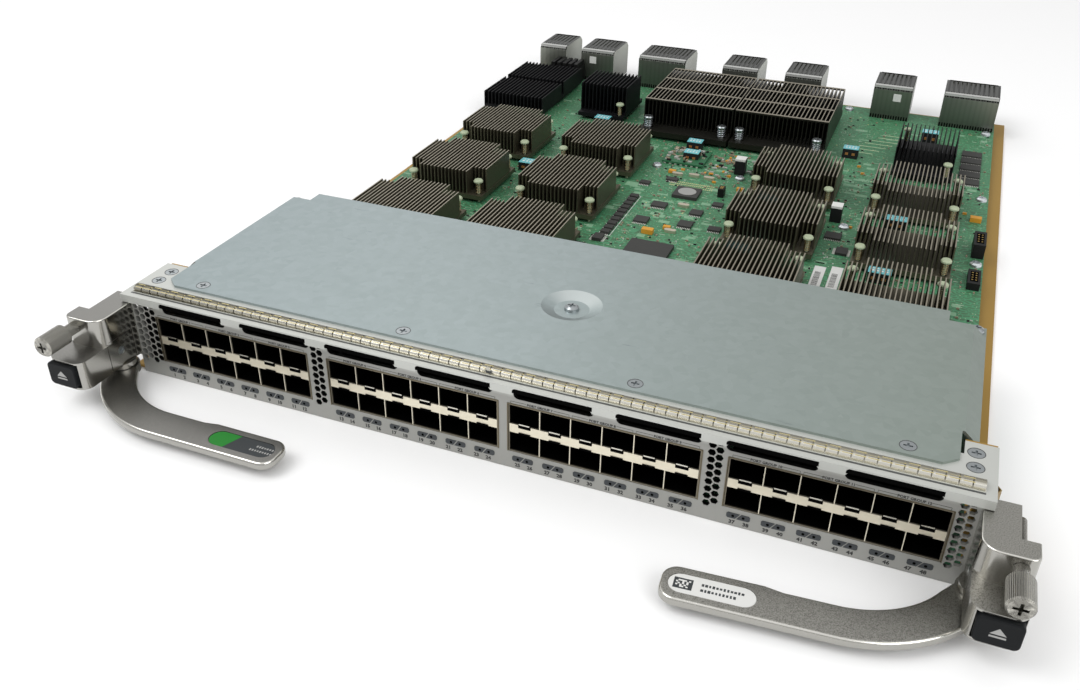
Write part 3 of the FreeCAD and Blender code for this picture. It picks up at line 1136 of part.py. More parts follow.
def main():
    """Build every piece, test it and write it out."""
    faceplate()
    port_lights()
    spring_gasket()
    port_cages()
    base_tray()
    side_springs()
    main_board()
    standoffs()
    front_cover()
    screws()
    ejectors()
    cooling()
    backplane_connectors()
    board_parts()
    DOC.recompute()
    broken = [thing.Label for thing in DOC.Objects if {"Invalid", "Error"} & set(thing.State)]
    if broken:
        raise RuntimeError(f"failed objects: {broken}")
    os.makedirs("parts", exist_ok=True)
    for piece in NODES:
        shape = piece.Shape
        if shape.isNull() or not shape.isValid() or not shape.Solids:
            raise RuntimeError(f"{piece.Label} has no valid shape")
    for piece in NODES:
        piece.Shape.exportStep(f"parts/{piece.Label}.step")
        print(f"{piece.Label}: {len(piece.Shape.Solids)} solids, {piece.Shape.Volume / 1000:.2f} cm3")
    print(f"{len(NODES)} nodes")


main()
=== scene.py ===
"""Looks of the switch line card: finishes for every CAD piece, and the fine details that ride on them.

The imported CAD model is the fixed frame. Small details take their places from the solids of that frame,
so they stay on their chips, pins and ports. The row frame is in metres: X to the right, Y to the rear, Z up,
with the origin at the centre of the tray's underside.
"""
from __future__ import annotations

import json
import logging
import math
import random
from dataclasses import dataclass, field, replace
from enum import Enum
from typing import Iterable, NamedTuple, Sequence, Union

import bpy
from mathutils import Matrix, Vector

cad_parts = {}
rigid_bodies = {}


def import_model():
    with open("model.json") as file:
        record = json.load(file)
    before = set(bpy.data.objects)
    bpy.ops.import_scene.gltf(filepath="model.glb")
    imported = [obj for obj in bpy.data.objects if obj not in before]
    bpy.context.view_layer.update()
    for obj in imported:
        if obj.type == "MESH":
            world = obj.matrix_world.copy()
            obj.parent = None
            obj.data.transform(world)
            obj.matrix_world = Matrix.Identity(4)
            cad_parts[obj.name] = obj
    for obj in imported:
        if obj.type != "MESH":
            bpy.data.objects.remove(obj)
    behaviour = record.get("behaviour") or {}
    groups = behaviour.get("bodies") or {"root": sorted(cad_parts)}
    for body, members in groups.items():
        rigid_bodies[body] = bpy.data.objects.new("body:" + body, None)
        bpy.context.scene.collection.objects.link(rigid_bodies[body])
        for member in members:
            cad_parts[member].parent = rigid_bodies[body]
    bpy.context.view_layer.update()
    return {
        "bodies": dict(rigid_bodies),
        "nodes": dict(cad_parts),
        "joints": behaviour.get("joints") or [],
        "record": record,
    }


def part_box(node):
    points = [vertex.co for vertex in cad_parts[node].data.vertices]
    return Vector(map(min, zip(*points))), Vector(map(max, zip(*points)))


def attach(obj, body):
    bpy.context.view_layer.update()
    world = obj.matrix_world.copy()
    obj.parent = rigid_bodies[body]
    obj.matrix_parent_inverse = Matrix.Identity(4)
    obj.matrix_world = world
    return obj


LOG = logging.getLogger("line_card")
MM = 0.001
FRONT = -0.283
BOARD_TOP = 6.5 * MM
PORT_PITCH = 14.25 * MM
COLUMNS = 6

Colour = tuple[float, float, float]
Spot = tuple[float, float, float]
Rows = list[tuple[Spot, Spot]]
Feed = Union[bpy.types.NodeSocket, float, tuple]


def mm(*values: float) -> tuple[float, ...]:
    """Turn millimetres into metres."""
    return tuple(value * MM for value in values)


def on_board(x: float, y: float, lift: float) -> Spot:
    """Return a spot from its millimetres to the right, behind the faceplate and above the board."""
    return x * MM, FRONT + y * MM, BOARD_TOP + lift * MM


class Pattern(Enum):
    """The fine structure that a surface shows, and the light and shade that some patterns paint on it."""

    PLAIN = "plain"
    GRAIN = "grain"
    SPANGLE = "spangle"
    BOARD = "board"
    KNURL = "knurl"
    RIBS = "ribs"
    CAST = "cast"
    # Painted shade that deepens behind the faceplate's front plane.
    DEEP = "deep"
    FINS = "fins"
    SHEET = "sheet"
    DOME = "dome"


@dataclass(frozen=True)
class Finish:
    """One surface: its colours, its sheen and its fine structure.

    Attributes:
        colour: Main colour, linear.
        second: Colour that the main one drifts towards.
        metallic: Metal share, 0 to 1.
        roughness: Roughness, 0 to 1.
        drift: How far the colour drifts, 0 to 1.
        drift_scale: How fine the drift is, per metre.
        grain: Depth of the bump, 0 to 1.
        grain_scale: How fine the bump is, per metre.
        pattern: Fine structure.
        centre: Axis of a turned pattern, X and Z in metres.
        specular: Strength of a plastic's reflection.
    """

    colour: Colour
    second: Colour = (0.5, 0.5, 0.5)
    metallic: float = 0.0
    roughness: float = 0.5
    drift: float = 0.1
    drift_scale: float = 30.0
    grain: float = 0.05
    grain_scale: float = 900.0
    pattern: Pattern = Pattern.GRAIN
    centre: tuple[float, float] = (0.0, 0.0)
    specular: float = 0.5


SLOT_FINISHES: dict[str, Finish] = {
    "silver_paint": Finish((0.335, 0.335, 0.315), (0.26, 0.26, 0.24), 0.45, 0.38, 0.3, 18, 0.04, 2500,
                           pattern=Pattern.SHEET),
    "light_window": Finish((0.045, 0.05, 0.055), (0.03, 0.03, 0.03), 0.0, 0.4, specular=0.3),
    "nickel": Finish((0.46, 0.44, 0.37), (0.26, 0.24, 0.17), 1.0, 0.2, 0.6, 160, 0.05, 500),
    "core_plastic": Finish((0.004, 0.004, 0.004), (0.01, 0.01, 0.01), 0.0, 0.9, specular=0.1),
    "gold_chromate": Finish((0.385, 0.235, 0.052), (0.30, 0.185, 0.048), 0.45, 0.45, 0.5, 14, 0.05, 800,
                            specular=0.3),
    "board_green": Finish((0.036, 0.115, 0.053), (0.082, 0.190, 0.096), 0.0, 0.38, 0.9, 60, 0.05, 700,
                          pattern=Pattern.BOARD, specular=0.25),
    "post_steel": Finish((0.3, 0.3, 0.29), metallic=1.0, roughness=0.35),
    "galvanised": Finish((0.376, 0.436, 0.434), (0.30, 0.35, 0.345), 0.80, 0.42, 0.45, 160, 0.05, 900,
                         pattern=Pattern.SPANGLE),
    "screw_steel": Finish((0.44, 0.47, 0.48), (0.24, 0.26, 0.27), 1.0, 0.26, 0.6, 500),
    "spring_bronze": Finish((0.30, 0.21, 0.08), (0.15, 0.10, 0.04), 1.0, 0.3, 0.3, 100),
    "cast_grey": Finish((0.30, 0.293, 0.272), (0.20, 0.195, 0.18), 1.0, 0.30, 0.45, 60, 0.28, 1900,
                        pattern=Pattern.CAST),
    "button_grey": Finish((0.007, 0.008, 0.009), (0.012, 0.013, 0.014), 0.0, 0.5, 0.3, 40, 0.05, 2500,
                          specular=0.14),
    "spring_steel": Finish((0.4, 0.4, 0.4), metallic=1.0, roughness=0.3),
    "polished": Finish((0.58, 0.57, 0.53), (0.40, 0.39, 0.36), 1.0, 0.2, 0.3, 200),
    # The nickel sink colour is dark as painted shade on the fin sides; the FINS pattern paints light on their
    # tops.
    "nickel_sink": Finish((0.155, 0.143, 0.098), (0.105, 0.096, 0.066), 0.85, 0.40, 0.4, 70, 0.06, 500,
                          pattern=Pattern.FINS),
    "black_anodised": Finish((0.004, 0.004, 0.005), (0.008, 0.008, 0.009), 0.0, 0.5, 0.3, 60, specular=0.18),
    "connector_shell": Finish((0.19, 0.20, 0.175), (0.11, 0.12, 0.10), 0.9, 0.32, 0.5, 40, 0.2, 500,
                              pattern=Pattern.RIBS),
    "chip_black": Finish((0.038, 0.038, 0.036), (0.06, 0.06, 0.056), 0.0, 0.55, 0.4, 200, 0.05, 2000,
                         specular=0.22),
    "pin_plastic": Finish((0.40, 0.46, 0.31), (0.33, 0.38, 0.26), 0.0, 0.42, 0.3, 80, specular=0.4),
    "coil_grey": Finish((0.012, 0.013, 0.014), (0.03, 0.03, 0.03), 0.0, 0.5, specular=0.25),
    "cap_black": Finish((0.010, 0.010, 0.011), (0.02, 0.02, 0.02), 0.0, 0.45, specular=0.25),
    "tantalum": Finish((0.62, 0.30, 0.03), (0.45, 0.2, 0.03), 0.0, 0.45, 0.3, 90, specular=0.3),
    "black_plastic": Finish((0.007, 0.007, 0.007), (0.015, 0.015, 0.015), 0.0, 0.5, specular=0.2),
}

# Painted shade: the large sinks take a much darker copy of the nickel sink finish.
SHADED_LARGE_SINK = Finish((0.034, 0.033, 0.026), (0.024, 0.023, 0.018), 0.85, 0.40, 0.4, 70, 0.06, 500,
                    pattern=Pattern.FINS)
CAGE_METAL = Finish((0.84, 0.785, 0.64), (0.64, 0.585, 0.46), 0.9, 0.36, 0.5, 160, 0.05, 500,
                    pattern=Pattern.DEEP)
# Painted shade: the cage shells take a much darker copy of the cage metal.
CAGE_EDGE_SHADED = Finish((0.24, 0.215, 0.165), (0.16, 0.145, 0.11), 0.9, 0.42, 0.5, 160, 0.05, 500,
                   pattern=Pattern.DEEP)
# The two castings are one metal: the left copy is darker as painted shade, the right copy lighter as painted
# light; their grain depth differs too.
CAST_LEFT_SHADED = Finish((0.25, 0.245, 0.23), (0.17, 0.166, 0.155), 1.0, 0.28, 0.45, 60, 0.06, 1900,
                   pattern=Pattern.CAST)
CAST_RIGHT_LIT = Finish((0.37, 0.362, 0.33), (0.26, 0.254, 0.23), 1.0, 0.30, 0.45, 60, 0.30, 1900,
                    pattern=Pattern.CAST)
THUMBSCREW = Finish((0.37, 0.36, 0.325), (0.25, 0.24, 0.215), 1.0, 0.24, pattern=Pattern.KNURL)
NODE_FINISHES: dict[str, tuple[str, Finish]] = {
    "large_heat": ("shaded_large_sink", SHADED_LARGE_SINK),
    "port_cage_": ("cage_edge_shaded", CAGE_EDGE_SHADED),
    "cage_dividers": ("cage_metal", CAGE_METAL),
    "cage_middle_bars": ("cage_metal", CAGE_METAL),
    "left_ear": ("cast_left", CAST_LEFT_SHADED),
    "left_lever": ("cast_left", CAST_LEFT_SHADED),
    "right_ear": ("cast_right", CAST_RIGHT_LIT),
    "right_lever": ("cast_right", CAST_RIGHT_LIT),
    "board_screws": ("board_screw", Finish((0.72, 0.76, 0.78), (0.45, 0.48, 0.5), 0.9, 0.24, 0.5, 400)),
    "emi_gasket": ("gasket_metal", Finish((0.42, 0.40, 0.33), (0.26, 0.24, 0.18), 1.0, 0.22, 0.6, 160, 0.05,
                                          500,
                                          pattern=Pattern.DOME)),
}

DETAIL_FINISHES: dict[str, tuple[str, Finish]] = {
    "ink": ("chip_black", Finish((0.02, 0.02, 0.02), metallic=0.0, roughness=0.6, pattern=Pattern.PLAIN)),
    "white_print": ("pin_plastic", Finish((0.66, 0.66, 0.64), (0.58, 0.58, 0.56), roughness=0.5,
                                          specular=0.3)),
    "silkscreen": ("pin_plastic", Finish((0.30, 0.42, 0.30), (0.20, 0.32, 0.21), roughness=0.5,
                                         specular=0.2)),
    "pale_pad": ("pin_plastic", Finish((0.13, 0.29, 0.17), (0.26, 0.43, 0.28), roughness=0.45, drift=0.9,
                                       drift_scale=300, specular=0.2)),
    "pale_trace": ("pin_plastic", Finish((0.42, 0.52, 0.33), (0.3, 0.4, 0.25), roughness=0.5, specular=0.2)),
    "icon_grey": ("pin_plastic", Finish((0.36, 0.36, 0.35), (0.30, 0.30, 0.29), roughness=0.5, specular=0.3)),
    # This gold colours the painted reflection lines on the gasket.
    "painted_gold_reflection": ("nickel", Finish((0.72, 0.61, 0.28), (0.5, 0.42, 0.18), 0.7, 0.28)),
    "gold_pin": ("tantalum", Finish((0.62, 0.42, 0.12), (0.5, 0.32, 0.1), 0.9, 0.3)),
    "orange": ("tantalum", Finish((0.55, 0.25, 0.03), (0.42, 0.18, 0.03), roughness=0.45, specular=0.3)),
    "cyan_cap": ("coil_grey", Finish((0.15, 0.46, 0.50), (0.20, 0.52, 0.55), roughness=0.4, specular=0.3)),
    "copper": ("tantalum", Finish((0.60, 0.25, 0.09), (0.42, 0.16, 0.06), 0.6, 0.35)),
    "gold_pad": ("tantalum", Finish((0.50, 0.50, 0.24), (0.38, 0.40, 0.18), 0.2, 0.4)),
    "lead_tin": ("screw_steel", Finish((0.70, 0.70, 0.65), (0.5, 0.5, 0.46), 0.3, 0.4)),
    "can_metal": ("tantalum", Finish((0.62, 0.56, 0.44), (0.45, 0.40, 0.30), 0.7, 0.3)),
    "module_green": ("board_green", Finish((0.03, 0.13, 0.06), (0.06, 0.2, 0.1), roughness=0.4,
                                           specular=0.25)),
    "solder": ("screw_steel", Finish((0.52, 0.53, 0.49), (0.36, 0.36, 0.33), 0.5, 0.4)),
    "lid_steel": ("screw_steel", Finish((0.48, 0.48, 0.46), (0.36, 0.36, 0.35), 0.8, 0.3)),
    # This dark also serves the painted shade lines of the gasket and the painted shadow under its bent
    # finger.
    "ring_dark": ("screw_steel", Finish((0.10, 0.105, 0.105), (0.06, 0.065, 0.065), 0.6, 0.4)),
    # This pale finish is the painted highlight on the connectors' top front edges.
    "highlight_strip": ("connector_shell", Finish((0.50, 0.505, 0.485), (0.36, 0.365, 0.35), 0.25, 0.4)),
    "brass_wire": ("spring_bronze", Finish((0.36, 0.29, 0.16), (0.25, 0.2, 0.1), 1.0, 0.28)),
    "steel_wire": ("spring_steel", Finish((0.5, 0.53, 0.56), (0.36, 0.38, 0.4), 1.0, 0.22)),
    "ceramic": ("tantalum", Finish((0.26, 0.21, 0.14), (0.2, 0.16, 0.11), 0.0, 0.45, 0.6, 300, specular=0.3)),
    "green_print": ("board_green", Finish((0.012, 0.19, 0.02), (0.016, 0.23, 0.03), roughness=0.45,
                                          specular=0.3)),
    "grey_print": ("button_grey", Finish((0.035, 0.04, 0.043), (0.05, 0.055, 0.055), roughness=0.45,
                                         specular=0.3)),
    # dark_gap also serves the painted shade plates at the vents and behind the honeycomb.
    "dark_gap": ("core_plastic", Finish((0.003, 0.003, 0.003), roughness=1.0, pattern=Pattern.PLAIN,
                                        specular=0.0)),
    "bright_edge": ("nickel", Finish((0.72, 0.70, 0.62), (0.55, 0.52, 0.44), 1.0, 0.22)),
    "bronze_edge": ("nickel", Finish((0.16, 0.135, 0.09), (0.11, 0.09, 0.06), 1.0, 0.33)),
    "rubber_black": ("black_plastic", Finish((0.007, 0.007, 0.007), (0.015, 0.015, 0.015), 0.0, 0.6,
                                             specular=0.2)),
    "floor": ("", Finish((0.93, 0.93, 0.93), (0.94, 0.94, 0.94), roughness=0.7, drift=0.05,
                         pattern=Pattern.PLAIN)),
}


class Graph:
    """A node tree, with short steps that add its nodes and join them."""

    def __init__(self, tree: bpy.types.NodeTree) -> None:
        """Give the tree its coordinates.

        Args:
            tree: Tree to fill.
        """
        self.tree = tree
        self.where = tree.nodes.new("ShaderNodeTexCoord").outputs

    def feed(self, target: bpy.types.NodeSocket, source: Feed) -> None:
        """Join a socket to another node, or give it a constant.

        Args:
            target: Input socket.
            source: Another node's socket, a number, a colour or a vector.
        """
        if isinstance(source, bpy.types.NodeSocket):
            self.tree.links.new(source, target)
        else:
            target.default_value = (*source, 1.0) if target.type == "RGBA" else source

    def node(self, kind: str, feeds: dict[str | int, Feed], **settings: str | bpy.types.NodeTree
             ) -> bpy.types.Node:
        """Add one node.

        Args:
            kind: Its type, without the prefix that all types share.
            feeds: What goes into its sockets, by their names or places.
            settings: Its own properties.

        Returns:
            The node.
        """
        made = self.tree.nodes.new(f"ShaderNode{kind}")
        for name, value in settings.items():
            setattr(made, name, value)
        for key, source in feeds.items():
            self.feed(made.inputs[key], source)
        return made

    def maths(self, operation: str, *feeds: Feed) -> bpy.types.NodeSocket:
        """Work out one value from others.

        Args:
            operation: What is done to them.
            feeds: The other values, in order.

        Returns:
            The result's socket.
        """
        return self.node("Math", dict(enumerate(feeds)), operation=operation).outputs[0]

    def axes(self, space: str) -> bpy.types.bpy_prop_collection:
        """Split coordinates into X, Y and Z.

        Args:
            space: Object for places, Normal for directions.

        Returns:
            The three sockets, by name.
        """
        return self.node("SeparateXYZ", {"Vector": self.where[space]}).outputs

    def band(self, value: bpy.types.NodeSocket, low: float, high: float, least: float = 0.0, most: float = 1.0
             ) -> bpy.types.NodeSocket:
        """Turn a value into a share that goes from least at low to most at high.

        Args:
            value: Value's socket.
            low: Value at one end.
            high: Value at the other end.
            least: Share at low.
            most: Share at high.

        Returns:
            The share's socket.
        """
        feeds = {"Value": value, "From Min": low, "From Max": high, "To Min": least, "To Max": most}
        return self.node("MapRange", feeds).outputs["Result"]

    def over(self, share: bpy.types.NodeSocket, low: Feed, high: Feed) -> bpy.types.NodeSocket:
        """Lay one colour over another.

        Args:
            share: How much of the upper colour shows.
            low: Lower colour.
            high: Upper colour.

        Returns:
            The mixed colour's socket.
        """
        return self.node("Mix", {0: share, 6: low, 7: high}, data_type="RGBA").outputs[2]


class Effect(Graph):
    """An effect that many materials share, as a node group with named sockets."""

    def __init__(self, name: str, sockets: Sequence[tuple[str, str, str, float | None]]) -> None:
        """Make the group's sockets.

        Args:
            name: Group's name.
            sockets: Name, way, type and default of each.
        """
        super().__init__(bpy.data.node_groups.new(name, "ShaderNodeTree"))
        for label, way, kind, value in sockets:
            made = self.tree.interface.new_socket(name=label, in_out=way, socket_type=kind)
            if value is not None:
                made.default_value = value
        self.source = self.tree.nodes.new("NodeGroupInput").outputs
        self.sink = self.tree.nodes.new("NodeGroupOutput").inputs

    @classmethod
    def drift(cls) -> bpy.types.NodeTree:
        """Make the group that lets a colour and a roughness drift over a surface.

        Returns:
            The node group.
        """
        made = cls("Drift", (("Colour", "INPUT", "NodeSocketColor", None),
                             ("Second", "INPUT", "NodeSocketColor", None),
                             ("Roughness", "INPUT", "NodeSocketFloat", 0.4),
                             ("Amount", "INPUT", "NodeSocketFloat", 0.2),
                             ("Scale", "INPUT", "NodeSocketFloat", 30.0),
                             ("Colour", "OUTPUT", "NodeSocketColor", None),
                             ("Roughness", "OUTPUT", "NodeSocketFloat", None)))
        noise = made.node("TexNoise", {"Vector": made.where["Object"], "Scale": made.source["Scale"],
                                       "Detail": 4.0})
        share = made.maths("MULTIPLY", noise.outputs["Fac"], made.source["Amount"])
        made.feed(made.sink["Colour"], made.over(share, made.source["Colour"], made.source["Second"]))
        made.feed(made.sink["Roughness"], made.maths("MULTIPLY_ADD", share, 0.18, made.source["Roughness"]))
        return made.tree

    @classmethod
    def grain(cls) -> bpy.types.NodeTree:
        """Make the group that gives a surface a fine bump.

        Returns:
            The node group.
        """
        made = cls("Grain", (("Depth", "INPUT", "NodeSocketFloat", 0.1),
                             ("Scale", "INPUT", "NodeSocketFloat", 900.0),
                             ("Normal", "OUTPUT", "NodeSocketVector", None)))
        noise = made.node("TexNoise", {"Vector": made.where["Object"], "Scale": made.source["Scale"]})
        bump = made.node("Bump", {"Height": noise.outputs["Fac"], "Strength": made.source["Depth"],
                                  "Distance": 0.0002})
        made.feed(made.sink["Normal"], bump.outputs["Normal"])
        return made.tree


class Surface(Graph):
    """The node tree of one material, from its drifting base colour to its shader."""

    def __init__(self, tree: bpy.types.NodeTree, finish: Finish, drift: bpy.types.NodeTree,
                 grain: bpy.types.NodeTree) -> None:
        """Lay down the drifting colour and the grain, and then the finish's own pattern.

        Args:
            tree: Material's tree.
            finish: What it looks like.
            drift: Shared drift group.
            grain: Shared grain group.
        """
        super().__init__(tree)
        self.finish = finish
        self.shader = tree.nodes["Principled BSDF"].inputs
        self.grained = self.node("Group", {"Depth": finish.grain, "Scale": finish.grain_scale},
                                 node_tree=grain)
        drifted = self.node("Group", {"Colour": finish.colour, "Second": finish.second,
                                      "Roughness": finish.roughness, "Amount": finish.drift,
                                      "Scale": finish.drift_scale}, node_tree=drift).outputs
        self.base = drifted["Colour"]
        self.paint(self.base)
        self.feed(self.shader["Roughness"], drifted["Roughness"])
        self.feed(self.shader["Normal"], self.grained.outputs["Normal"])
        patterns = {Pattern.BOARD: self.add_traces, Pattern.SPANGLE: self.add_spangle,
                    Pattern.KNURL: self.add_knurl, Pattern.RIBS: self.add_ribs,
                    Pattern.CAST: self.add_casting,
                    Pattern.DEEP: self.add_depth, Pattern.FINS: self.add_fins, Pattern.SHEET: self.add_holes,
                    Pattern.DOME: self.add_dome}
        if finish.pattern in patterns:
            patterns[finish.pattern]()

    def paint(self, colour: bpy.types.NodeSocket) -> None:
        """Send a colour to the shader.

        Args:
            colour: Colour's socket.
        """
        self.feed(self.shader["Base Color"], colour)

    def add_traces(self) -> None:
        """Add traces and plated holes to a circuit board."""
        black, white, trace, plate = (0.0, 0.0, 0.0), (1.0, 1.0, 1.0), (0.07, 0.30, 0.15), (0.40, 0.50, 0.32)
        bend = self.node("TexNoise", {"Vector": self.where["Object"], "Scale": 60.0}).outputs["Color"]
        bent = self.node("VectorMath", {0: bend, 1: (0.02, 0.02, 0.0), 2: self.where["Object"]},
                         operation="MULTIPLY_ADD").outputs["Vector"]
        lines = self.node("TexBrick", {"Vector": bent, "Scale": 95.0, "Mortar Size": 0.05, "Color1": black,
                                       "Color2": black, "Mortar": white}).outputs["Color"]
        traced = self.over(self.maths("MULTIPLY", lines, 0.6), self.base, trace)
        dots = self.node("TexVoronoi", {"Vector": self.where["Object"], "Scale": 420.0}).outputs["Distance"]
        self.paint(self.over(self.band(dots, 0.17, 0.12), traced, plate))

    def add_spangle(self) -> None:
        """Add zinc crystals and faint scuffs to galvanised sheet, and paint light and shade on the slopes of
        its dish.
        """
        zinc, scratch, lit, shaded = (0.52, 0.58, 0.60), (0.22, 0.25, 0.27), (0.52, 0.565, 0.56), (0.20,
                                                                                                   0.22, 0.22)
        crystal = self.node("TexVoronoi", {"Vector": self.where["Object"], "Scale": 260.0}).outputs["Color"]
        grey = self.node("RGBToBW", {"Color": crystal}).outputs["Val"]
        spangled = self.over(self.maths("MULTIPLY", grey, 0.22), self.base, zinc)
        stretched = self.node("Mapping", {"Vector": self.where["Object"], "Rotation": (0.0, 0.0, 0.6),
                                          "Scale": (1.0, 5.0, 1.0)}).outputs["Vector"]
        scuff = self.node("TexNoise", {"Vector": stretched, "Scale": 45.0, "Detail": 8.0}).outputs["Fac"]
        tone = self.over(self.band(scuff, 0.70, 0.80), spangled, scratch)
        # Painted light and shade: dish slopes that face the front take the lit colour, those that face the
        # rear take the shaded one.
        facing = self.axes("Normal")
        level = self.band(facing["Z"], 0.2, 0.6)
        for gentle, steep, colour in ((-0.04, -0.30, lit), (0.04, 0.60, shaded)):
            slope = self.maths("MULTIPLY", self.band(facing["Y"], gentle, steep), level)
            tone = self.over(slope, tone, colour)
        self.paint(self.faded(tone))

    def faded(self, colour: bpy.types.NodeSocket) -> bpy.types.NodeSocket:
        """Paint shade on a wide sheet: darker towards its two ends, cooler at the left and warmer at the
        right.

        Args:
            colour: The sheet's colour.

        Returns:
            The toned colour.
        """
        # Painted shade: the ramp darkens the sheet towards both ends.
        ramp = self.node("ValToRGB", {"Fac": self.band(self.axes("Object")["X"], -0.20, 0.20)})
        stops = ramp.color_ramp.elements
        stops[0].color = (0.85, 0.86, 0.88, 1.0)
        stops[1].color = (0.80, 0.80, 0.72, 1.0)
        stops.new(0.5).color = (1.0, 1.0, 1.0, 1.0)
        return self.node("VectorMath", {0: colour, 1: ramp.outputs["Color"]},
                         operation="MULTIPLY").outputs["Vector"]

    def add_casting(self) -> None:
        """Keep the coarse grain of a casting to its level faces, polish its sides, and paint highlights on
        its rounded edges, which are also worn bright.
        """
        side, crest, pit, edge = (0.40, 0.392, 0.365), (0.46, 0.45, 0.42), (0.13, 0.127, 0.117), (0.72,
                                                                                                  0.71, 0.66)
        up = self.axes("Normal")["Z"]
        level = self.band(up, 0.80, 0.97)
        self.feed(self.grained.inputs["Depth"], self.maths("MULTIPLY_ADD", level, self.finish.grain, 0.03))
        self.feed(self.shader["Roughness"],
                  self.maths("MULTIPLY_ADD", level, 0.14, self.finish.roughness - 0.10))
        fleck = self.node("TexNoise", {"Vector": self.where["Object"], "Scale": 2400.0}).outputs["Fac"]
        strength = self.maths("MULTIPLY", level, min(1.0, self.finish.grain * 3.5))
        tone = self.over(self.band(up, 0.3, 0.1), self.base, side)
        for low, high, colour in ((0.50, 0.78, crest), (0.50, 0.24, pit)):
            flecks = self.maths("MULTIPLY", self.band(fleck, low, high), strength)
            tone = self.over(flecks, tone, colour)
        # Painted highlight on the rounded edges, which are partly also worn bright metal.
        rim = self.maths("MULTIPLY", self.band(up, 0.25, 0.55), self.band(up, 0.97, 0.85))
        self.paint(self.over(rim, tone, edge))

    def add_knurl(self) -> None:
        """Add straight knurls round a Y axis."""
        teeth = 44.0
        place = self.axes("Object")
        arms = [self.maths("SUBTRACT", place[axis], middle) for axis, middle in zip("XZ", self.finish.centre)]
        ripple = self.maths("SINE", self.maths("MULTIPLY", self.maths("ARCTAN2", *arms), teeth))
        bump = self.node("Bump", {"Height": ripple, "Strength": 0.9, "Distance": 0.0002})
        self.feed(self.shader["Normal"], bump.outputs["Normal"])

    def add_ribs(self) -> None:
        """Add the seams of stacked plates to a shell: plain on its sides, clear on its top, with its sides
        painted lighter towards the top.
        """
        top, crown, seam = (0.125, 0.128, 0.122), (0.33, 0.345, 0.30), (0.035, 0.036, 0.034)
        up, height = self.axes("Normal")["Z"], self.axes("Object")["Z"]
        wave = self.node("TexWave", {"Vector": self.where["Object"], "Scale": 84.0}, bands_direction="X")
        seams = self.maths("MULTIPLY", self.band(wave.outputs["Fac"], 0.55, 0.15),
                           self.band(up, 0.0, 1.0, 0.10, 0.85))
        shaded = self.over(self.band(up, 0.5, 0.95), self.base, top)
        # Painted light: the sides are lighter towards the top.
        climb = self.maths("MULTIPLY", self.band(height, 0.012, 0.034), self.band(up, 0.5, 0.2))
        self.paint(self.over(seams, self.over(climb, shaded, crown), seam))

    def add_depth(self) -> None:
        """Paint shade on a cage's metal: it falls off into the dark behind its front edge."""
        # Painted shade: darker with depth behind the front plane.
        share = self.band(self.axes("Object")["Y"], FRONT + 0.2 * MM, FRONT + 1.2 * MM)
        self.paint(self.over(share, self.base, (0.003, 0.003, 0.003)))

    def add_holes(self) -> None:
        """Paint shade on the walls of a faceplate's openings, which fall off into the dark, and paint light
        on its lip.
        """
        pale, dark = (0.53, 0.54, 0.51), (0.008, 0.008, 0.008)
        place = self.axes("Object")
        # Painted shade: the opening walls behind the front plane, below the lip and between the tabs, go
        # dark.
        behind = self.band(place["Y"], FRONT + 0.04 * MM, FRONT + 0.3 * MM)
        below_lip = self.band(place["Z"], 42.4 * MM, 42.0 * MM)
        between_tabs = self.band(self.maths("ABSOLUTE", place["X"]), 188.5 * MM, 187.5 * MM)
        walls = self.maths("MULTIPLY", self.maths("MULTIPLY", behind, below_lip), between_tabs)
        # Painted light: the sheet is paler from the lip upwards.
        lip = self.over(self.band(place["Z"], 37.5 * MM, 40.0 * MM), self.base, pale)
        self.paint(self.over(walls, lip, dark))

    def add_dome(self) -> None:
        """Paint a highlight on the front half of the gasket's domed fingers, and paint shade on them towards
        the left.
        """
        painted_highlight, painted_left_shade = (0.82, 0.80, 0.72), (0.10, 0.092, 0.062)
        place = self.axes("Object")
        # Painted highlight on the fingers' front half, and painted shade that darkens them towards the left.
        front = self.band(place["Y"], FRONT + 4.8 * MM, FRONT + 3.6 * MM)
        bright = self.maths("MULTIPLY", front, self.band(place["X"], -0.17, 0.0, 0.4))
        dull = self.over(self.band(place["X"], 0.10, -0.17), self.base, painted_left_shade)
        self.paint(self.over(bright, dull, painted_highlight))

    def add_fins(self) -> None:
        """Paint light on the level tops of the fins, above the dark painted shade of their sides."""
        fin_top_light = (0.33, 0.30, 0.235)
        # Painted light: level faces high up on the fins are lighter.
        level = self.band(self.axes("Normal")["Z"], 0.5, 0.95)
        high_up = self.band(self.axes("Object")["Z"], 14.0 * MM, 15.0 * MM)
        self.paint(self.over(self.maths("MULTIPLY", level, high_up), self.base, fin_top_light))


class ShaderKit:
    """Builds procedural materials from finishes, with the shared effects kept as node groups."""

    def __init__(self) -> None:
        """Start with the shared effects and no materials."""
        self._made: dict[str, bpy.types.Material] = {}
        self._drift = Effect.drift()
        self._grain = Effect.grain()

    def material(self, name: str, finish: Finish) -> bpy.types.Material:
        """Return the material of a finish, making it the first time.

        Args:
            name: Name of the material.
            finish: What it looks like.

        Returns:
            The material.
        """
        if name in self._made:
            return self._made[name]
        made = bpy.data.materials.new(name)
        made.use_nodes = True
        shader = made.node_tree.nodes["Principled BSDF"]
        shader.inputs["Base Color"].default_value = (*finish.colour, 1.0)
        shader.inputs["Metallic"].default_value = finish.metallic
        shader.inputs["Roughness"].default_value = finish.roughness
        shader.inputs["Specular IOR Level"].default_value = finish.specular
        if finish.pattern is not Pattern.PLAIN:
            Surface(made.node_tree, finish, self._drift, self._grain)
        self._made[name] = made
        return made


